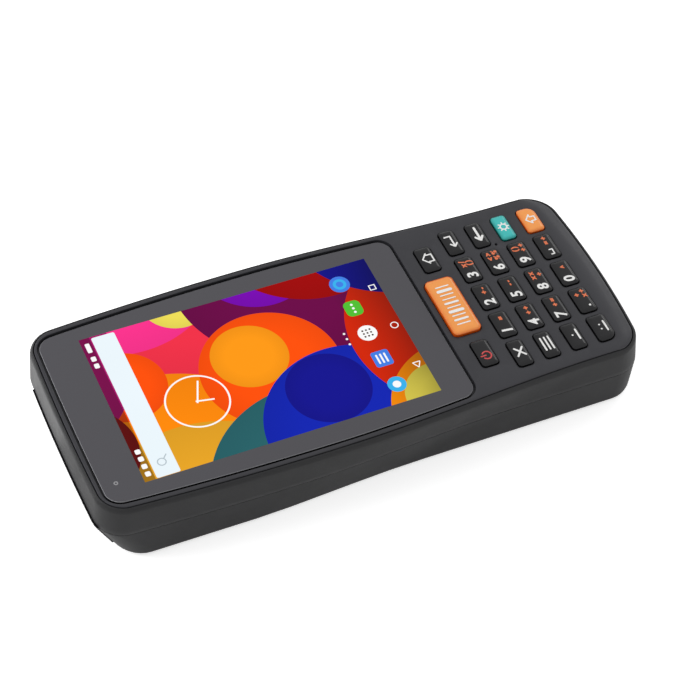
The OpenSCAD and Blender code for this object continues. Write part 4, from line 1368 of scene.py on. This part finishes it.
@dataclass(frozen=True)
class Hoop:
    """Ring by its middle and the radius of its middle line."""

    at: Point
    radius: float
    width: float
    glow: Glow = Glow.WHITE
    layer: int = 1
    steps: int = 32


@dataclass(frozen=True)
class Stroke:
    """Straight stroke between two points, which are measured from its place."""

    at: Point
    start: Point
    end: Point
    width: float
    glow: Glow = Glow.WHITE
    layer: int = 1


# Heights of the rows on the display, and the middles of the clock, the triangle and the square.
STATUS_Y, SEARCH_Y, DOTS_Y, TILES_Y, NAVIGATION_Y = 66.25, 61.15, -1.65, -7.95, -16.25
CLOCK, TRIANGLE, SQUARE_X = (-5.6, 45.15), (-15.0, NAVIGATION_Y), 15.0


@dataclass
class Screen:
    """Lit picture: wallpaper with lit marks in front of it.

    Tiles make the search bar, the status marks, the page dots, most of the application marks and the square
    for navigation. Rings and strokes make the magnifying glass, the clock, and what is round or slanted in
    the other marks. Layer 0 is the wallpaper, 1 lies on it and 2 on that.
    """

    half_w: float = 25.92
    y0: float = -18.48
    y1: float = 67.92
    z: float = 23.462
    layer: float = 0.012
    paper_thick: float = 0.008
    paper_r: float = 0.05
    thick: float = 0.01
    tiles: tuple[Tiles, ...] = (
        Tiles(SEARCH_Y, (-0.2,), (51.2, 6.7), 0.5, Glow.PALE),
        Tiles(STATUS_Y, (-23.6, -21.0, -18.4, -15.9), (1.6, 1.5), 0.4),
        Tiles(STATUS_Y, (15.6, 18.2), (1.7, 1.4), 0.35),
        Tiles(STATUS_Y, (22.3,), (3.4, 1.3), 0.3),
        Tiles(DOTS_Y, (-2.0, 0.0, 2.0), (0.7, 0.7), 0.34),
        Tiles(TILES_Y, (-19.6,), (5.4, 5.4), 2.69, Glow.SKY),
        Tiles(TILES_Y, (-19.6,), (2.4, 2.4), 1.19, layer=2),
        Tiles(TILES_Y, (-9.8,), (5.6, 5.2), 0.8, Glow.BLUE),
        *(Tiles(TILES_Y + rise, (-9.8,), (3.4, 0.55), 0.2, layer=2) for rise in (-1.2, 0.0, 1.2)),
        Tiles(TILES_Y, (9.7,), (5.6, 5.0), 1.6, Glow.GREEN),
        Tiles(TILES_Y, (8.3, 9.7, 11.1), (0.8, 0.8), 0.39, layer=2),
        Tiles(TILES_Y, (19.3,), (6.0, 6.0), 2.99, Glow.BLUE),
        *(Tiles(TILES_Y + rise, (-1.1, 0.0, 1.1), (0.55, 0.55), 0.1, Glow.SHADE, 2)
          for rise in (-1.1, 0.0, 1.1)),
        *(Tiles(NAVIGATION_Y + side, (SQUARE_X,), (2.0, 0.3), 0.1) for side in (0.85, -0.85)),
        Tiles(NAVIGATION_Y, (SQUARE_X + 0.85, SQUARE_X - 0.85), (0.3, 2.0), 0.1))
    rings: tuple[Hoop, ...] = (
        Hoop((-21.2, SEARCH_Y + 0.3), 1.15, 0.34, Glow.GREY, 2),
        Hoop(CLOCK, 8.8, 0.5, steps=64),
        Hoop((19.3, TILES_Y), 1.5, 0.9, Glow.SKY, 2),
        Hoop((0.0, TILES_Y), 1.4, 2.8),
        Hoop((0.0, NAVIGATION_Y), 1.05, 0.3))
    strokes: tuple[Stroke, ...] = (
        Stroke((-20.4, SEARCH_Y - 0.5), (0, 0), (1.3, -1.2), 0.34, Glow.GREY, 2),
        Stroke(CLOCK, (-0.6, 0.24), (6.6, -2.6), 0.5),
        Stroke(CLOCK, (0.1, 0.5), (-0.9, -4.6), 0.5),
        *(Stroke(TRIANGLE, polar(1.3, turn), polar(1.3, turn + 120), 0.3) for turn in (60, 180, 300)))

    def height(self, layer: int) -> Surface:
        """Height of a layer over any point."""
        return lambda x, y: self.z + self.layer * layer

    def build(self) -> None:
        """Builds the picture and its marks."""
        paper, marks = Form(), Form()
        sheet = rounded(2 * self.half_w, self.y1 - self.y0, [self.paper_r] * 4, 1)
        paper.plate(sheet, self.height(0), self.paper_thick, 0, (0.0, (self.y0 + self.y1) / 2))
        paper.piece("screen_picture", "body", "display", [Finishes.picture])
        for row in self.tiles:
            for x in row.across:
                marks.plate(rounded(*row.size, [row.radius] * 4, 5), self.height(row.layer), self.thick,
                            row.glow.slot, (x, row.y))
        for ring in self.rings:
            marks.arc(ring.at, ring.radius, ring.width, (0, 360), self.height(ring.layer), self.thick,
                      ring.glow.slot, ring.steps)
        for line in self.strokes:
            marks.plate(self.corners(line), self.height(line.layer), self.thick, line.glow.slot, line.at)
        marks.piece("screen_marks", "body", "display",
                    [Lit("lit_" + glow.name.lower(), glow.value) for glow in Glow])

    def corners(self, line: Stroke) -> Plan:
        """Plan of a stroke.

        Args:
            line: The stroke.

        Returns:
            Its four corners.
        """
        start, end = Vector(line.start), Vector(line.end)
        across = (end - start).normalized().orthogonal() * line.width / 2
        return [(p.x, p.y) for p in (start + across, start - across, end - across, end + across)]


@dataclass
class Underside:
    """Battery cover, feet, camera, flash, port flap, window and the screws that show."""

    skins: tuple[Skin, ...] = (
        Skin("battery_cover", "cover_moulding", "body_plastic", Finishes.body, body="battery_cover"),
        Skin("scan_window", "window_pane_piece", "dark_window", Finishes.window, 0.12),
        Skin("rubber_feet", "feet", "rubber", Finishes.foot, 0.3),
        Skin("camera_lens", "camera_cover", "dark_window", Finishes.lens, 0.2),
        Skin("flash_lens", "flash_cover", "flash_diffuser", Finishes.diffuser, 0.12),
        Skin("port_flap", "flap", "rubber", Finishes.rubber, 0.15, body="port_flap"),
        Skin("case_screws", "case_screw_set", "steel", Finishes.steel, 0.12))

    def build(self) -> None:
        """Builds each of them."""
        for skin in self.skins:
            skin.build()


@dataclass
class Inside:
    """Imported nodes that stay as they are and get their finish."""

    finishes: tuple[tuple[Finish, str], ...] = (
        (Finishes.steel, "key_domes shield_cans vibration_motor usb_socket card_sockets microphone"),
        (Finishes.steel, "backup_cell board_screws"),
        (Finishes.module, "display_module scan_engine speaker battery_contacts camera_module"),
        (Finishes.alloy, "mid_plate engine_bracket"),
        (Finishes.board, "keypad_board main_board"),
        (Finishes.tape, "glass_tape"),
        (Finishes.silicone, "keypad_mat"),
        (Finishes.wrap, "battery"),
        (Finishes.sensor, "light_sensor"),
        (Finishes.copper, "antenna"),
        (Finishes.rubber, "flap_anchor"))

    def dress(self) -> None:
        """Gives each of them its material."""
        for finish, nodes in self.finishes:
            for node in nodes.split():
                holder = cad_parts[node]
                for slot in holder.material_slots:
                    slot.material = finish.material()
                if not holder.material_slots:
                    holder.data.materials.append(finish.material())
                log.info("%s: %s", node, finish.name)


@dataclass(frozen=True)
class Lamp:
    """Soft rectangular lamp that faces a point. The camera never sees it."""

    name: str
    place: tuple[float, float, float]
    size: tuple[float, float]
    power: float
    aim: tuple[float, float, float] = (0.0, 0.0, 0.0)
    mirrored: bool = True

    def build(self) -> None:
        """Hangs the lamp."""
        lamp = bpy.data.lights.new(self.name, "AREA")
        lamp.shape, lamp.size, lamp.size_y, lamp.energy = "RECTANGLE", *self.size, self.power
        holder = bpy.data.objects.new(self.name, lamp)
        holder.location = self.place
        holder.rotation_euler = (Vector(self.aim) - Vector(self.place)).to_track_quat("-Z", "Y").to_euler()
        holder.visible_camera, holder.visible_glossy = False, self.mirrored
        bpy.context.scene.collection.objects.link(holder)


@dataclass
class Studio:
    """Floor, lights, background and camera."""

    focal_px: float = 2200.127
    frame_px: float = 680.0
    sensor: float = 36.0
    place: tuple[float, float, float] = (-0.34738, 0.18752, 0.49072)
    right: tuple[float, float, float] = (-0.40481207, -0.91214382, 0.06419377)
    down: tuple[float, float, float] = (-0.71625196, 0.27266693, -0.64236739)
    ahead: tuple[float, float, float] = (0.56842793, -0.30601699, -0.76370367)
    world_strength: float = 0.5
    floor_half: float = 3000.0
    floor_glow: float = 0.62
    floor_mirrored: float = 0.5
    lamps: tuple[Lamp, ...] = (
        Lamp("lamp_above", (0.3, -0.3, 1.2), (1.6, 1.6), 1.5, mirrored=False),
        Lamp("lamp_tail", (0.35, -1.3, 0.32), (1.2, 0.26), 4.5, mirrored=False),
        Lamp("strip_corner", (-0.87, -0.84, 0.17), (0.6, 0.07), 1.6),
        Lamp("lamp_apron", (0.7, -0.99, 0.63), (0.35, 0.3), 0.95, aim=(0.0, -0.08, 0.02)),
        Lamp("lamp_tip", (0.2, 0.45, 0.36), (0.4, 0.4), 2.2, mirrored=False),
        Lamp("card_tip", (0.075, 0.125, 0.003), (0.13, 0.075), 0.047, aim=(0.075, 0.125, 1.0)))

    def build(self) -> None:
        """Sets the stage."""
        self.build_floor()
        self.light()
        self.place_camera()
        bpy.context.scene.view_settings.view_transform = "Standard"

    def seen(self, shader: Shader, mirrored: float) -> Wire:
        """How much of a white background a ray sees.

        Args:
            shader: The tree that it goes in.
            mirrored: That share in reflections.

        Returns:
            1 where the camera looks straight or through glass, mirrored in reflections, and else 0.
        """
        straight = shader.node("LightPath", output="Is Camera Ray")
        through = shader.node("LightPath", output="Is Transmission Ray")
        return (straight + through + mirrored * shader.node("LightPath", output="Is Glossy Ray")).clamped()

    def build_floor(self) -> None:
        """Plain pale floor that keeps the shadow."""
        form = Form()
        bmesh.ops.create_grid(form.mesh, x_segments=2, y_segments=2, size=self.floor_half)
        floor = form.made("floor")
        shader = Shader(bpy.data.materials.new("floor_paint"))
        plain = shader.node("BsdfDiffuse", {}, {"Color": (0.9, 0.9, 0.9, 1)})
        white = shader.node("Emission", {}, {"Color": (1, 1, 1, 1), "Strength": self.floor_glow})
        seen = self.seen(shader, self.floor_mirrored)
        lit = shader.node("AddShader", {}, {0: plain, 1: white})
        shader.end(shader.node("MixShader", {}, {0: seen, 1: plain, 2: lit}))
        floor.data.materials.append(shader.owner)

    def light(self) -> None:
        """Surroundings that are even as light and white to the camera and in reflections, and the lamps."""
        world = bpy.data.worlds.new("studio")
        bpy.context.scene.world = world
        shader = Shader(world)
        even = shader.node("Background", {}, {"Color": (1, 1, 1, 1), "Strength": self.world_strength})
        white = shader.node("Background", {}, {"Color": (1, 1, 1, 1)})
        shader.end(shader.node("MixShader", {}, {0: self.seen(shader, 1.0), 1: even, 2: white}))
        for lamp in self.lamps:
            lamp.build()

    def place_camera(self) -> None:
        """Camera with the measured place, turn and focal length."""
        camera = bpy.data.cameras.new("camera")
        camera.sensor_width = self.sensor
        camera.lens = self.focal_px * self.sensor / self.frame_px
        camera.clip_start, camera.clip_end = 0.01, 20
        holder = bpy.data.objects.new("camera", camera)
        bpy.context.scene.collection.objects.link(holder)
        columns = (Vector(self.right), -Vector(self.down), -Vector(self.ahead))
        turn = Matrix([[c[i] for c in columns] for i in range(3)]).to_4x4()
        holder.matrix_world = Matrix.Translation(self.place) @ turn
        bpy.context.scene.camera = holder


def main() -> None:
    """Builds every part in order."""
    logging.basicConfig(level=logging.INFO, format="%(name)s %(message)s")
    Studio().build()
    outline = Outline()
    glass = Glass(outline)
    caps = key_caps()
    Housing(outline, glass, caps).build()
    glass.build()
    Screen().build()
    for cap in caps:
        cap.build()
    Underside().build()
    Inside().dress()


if __name__ == "__main__":
    main()
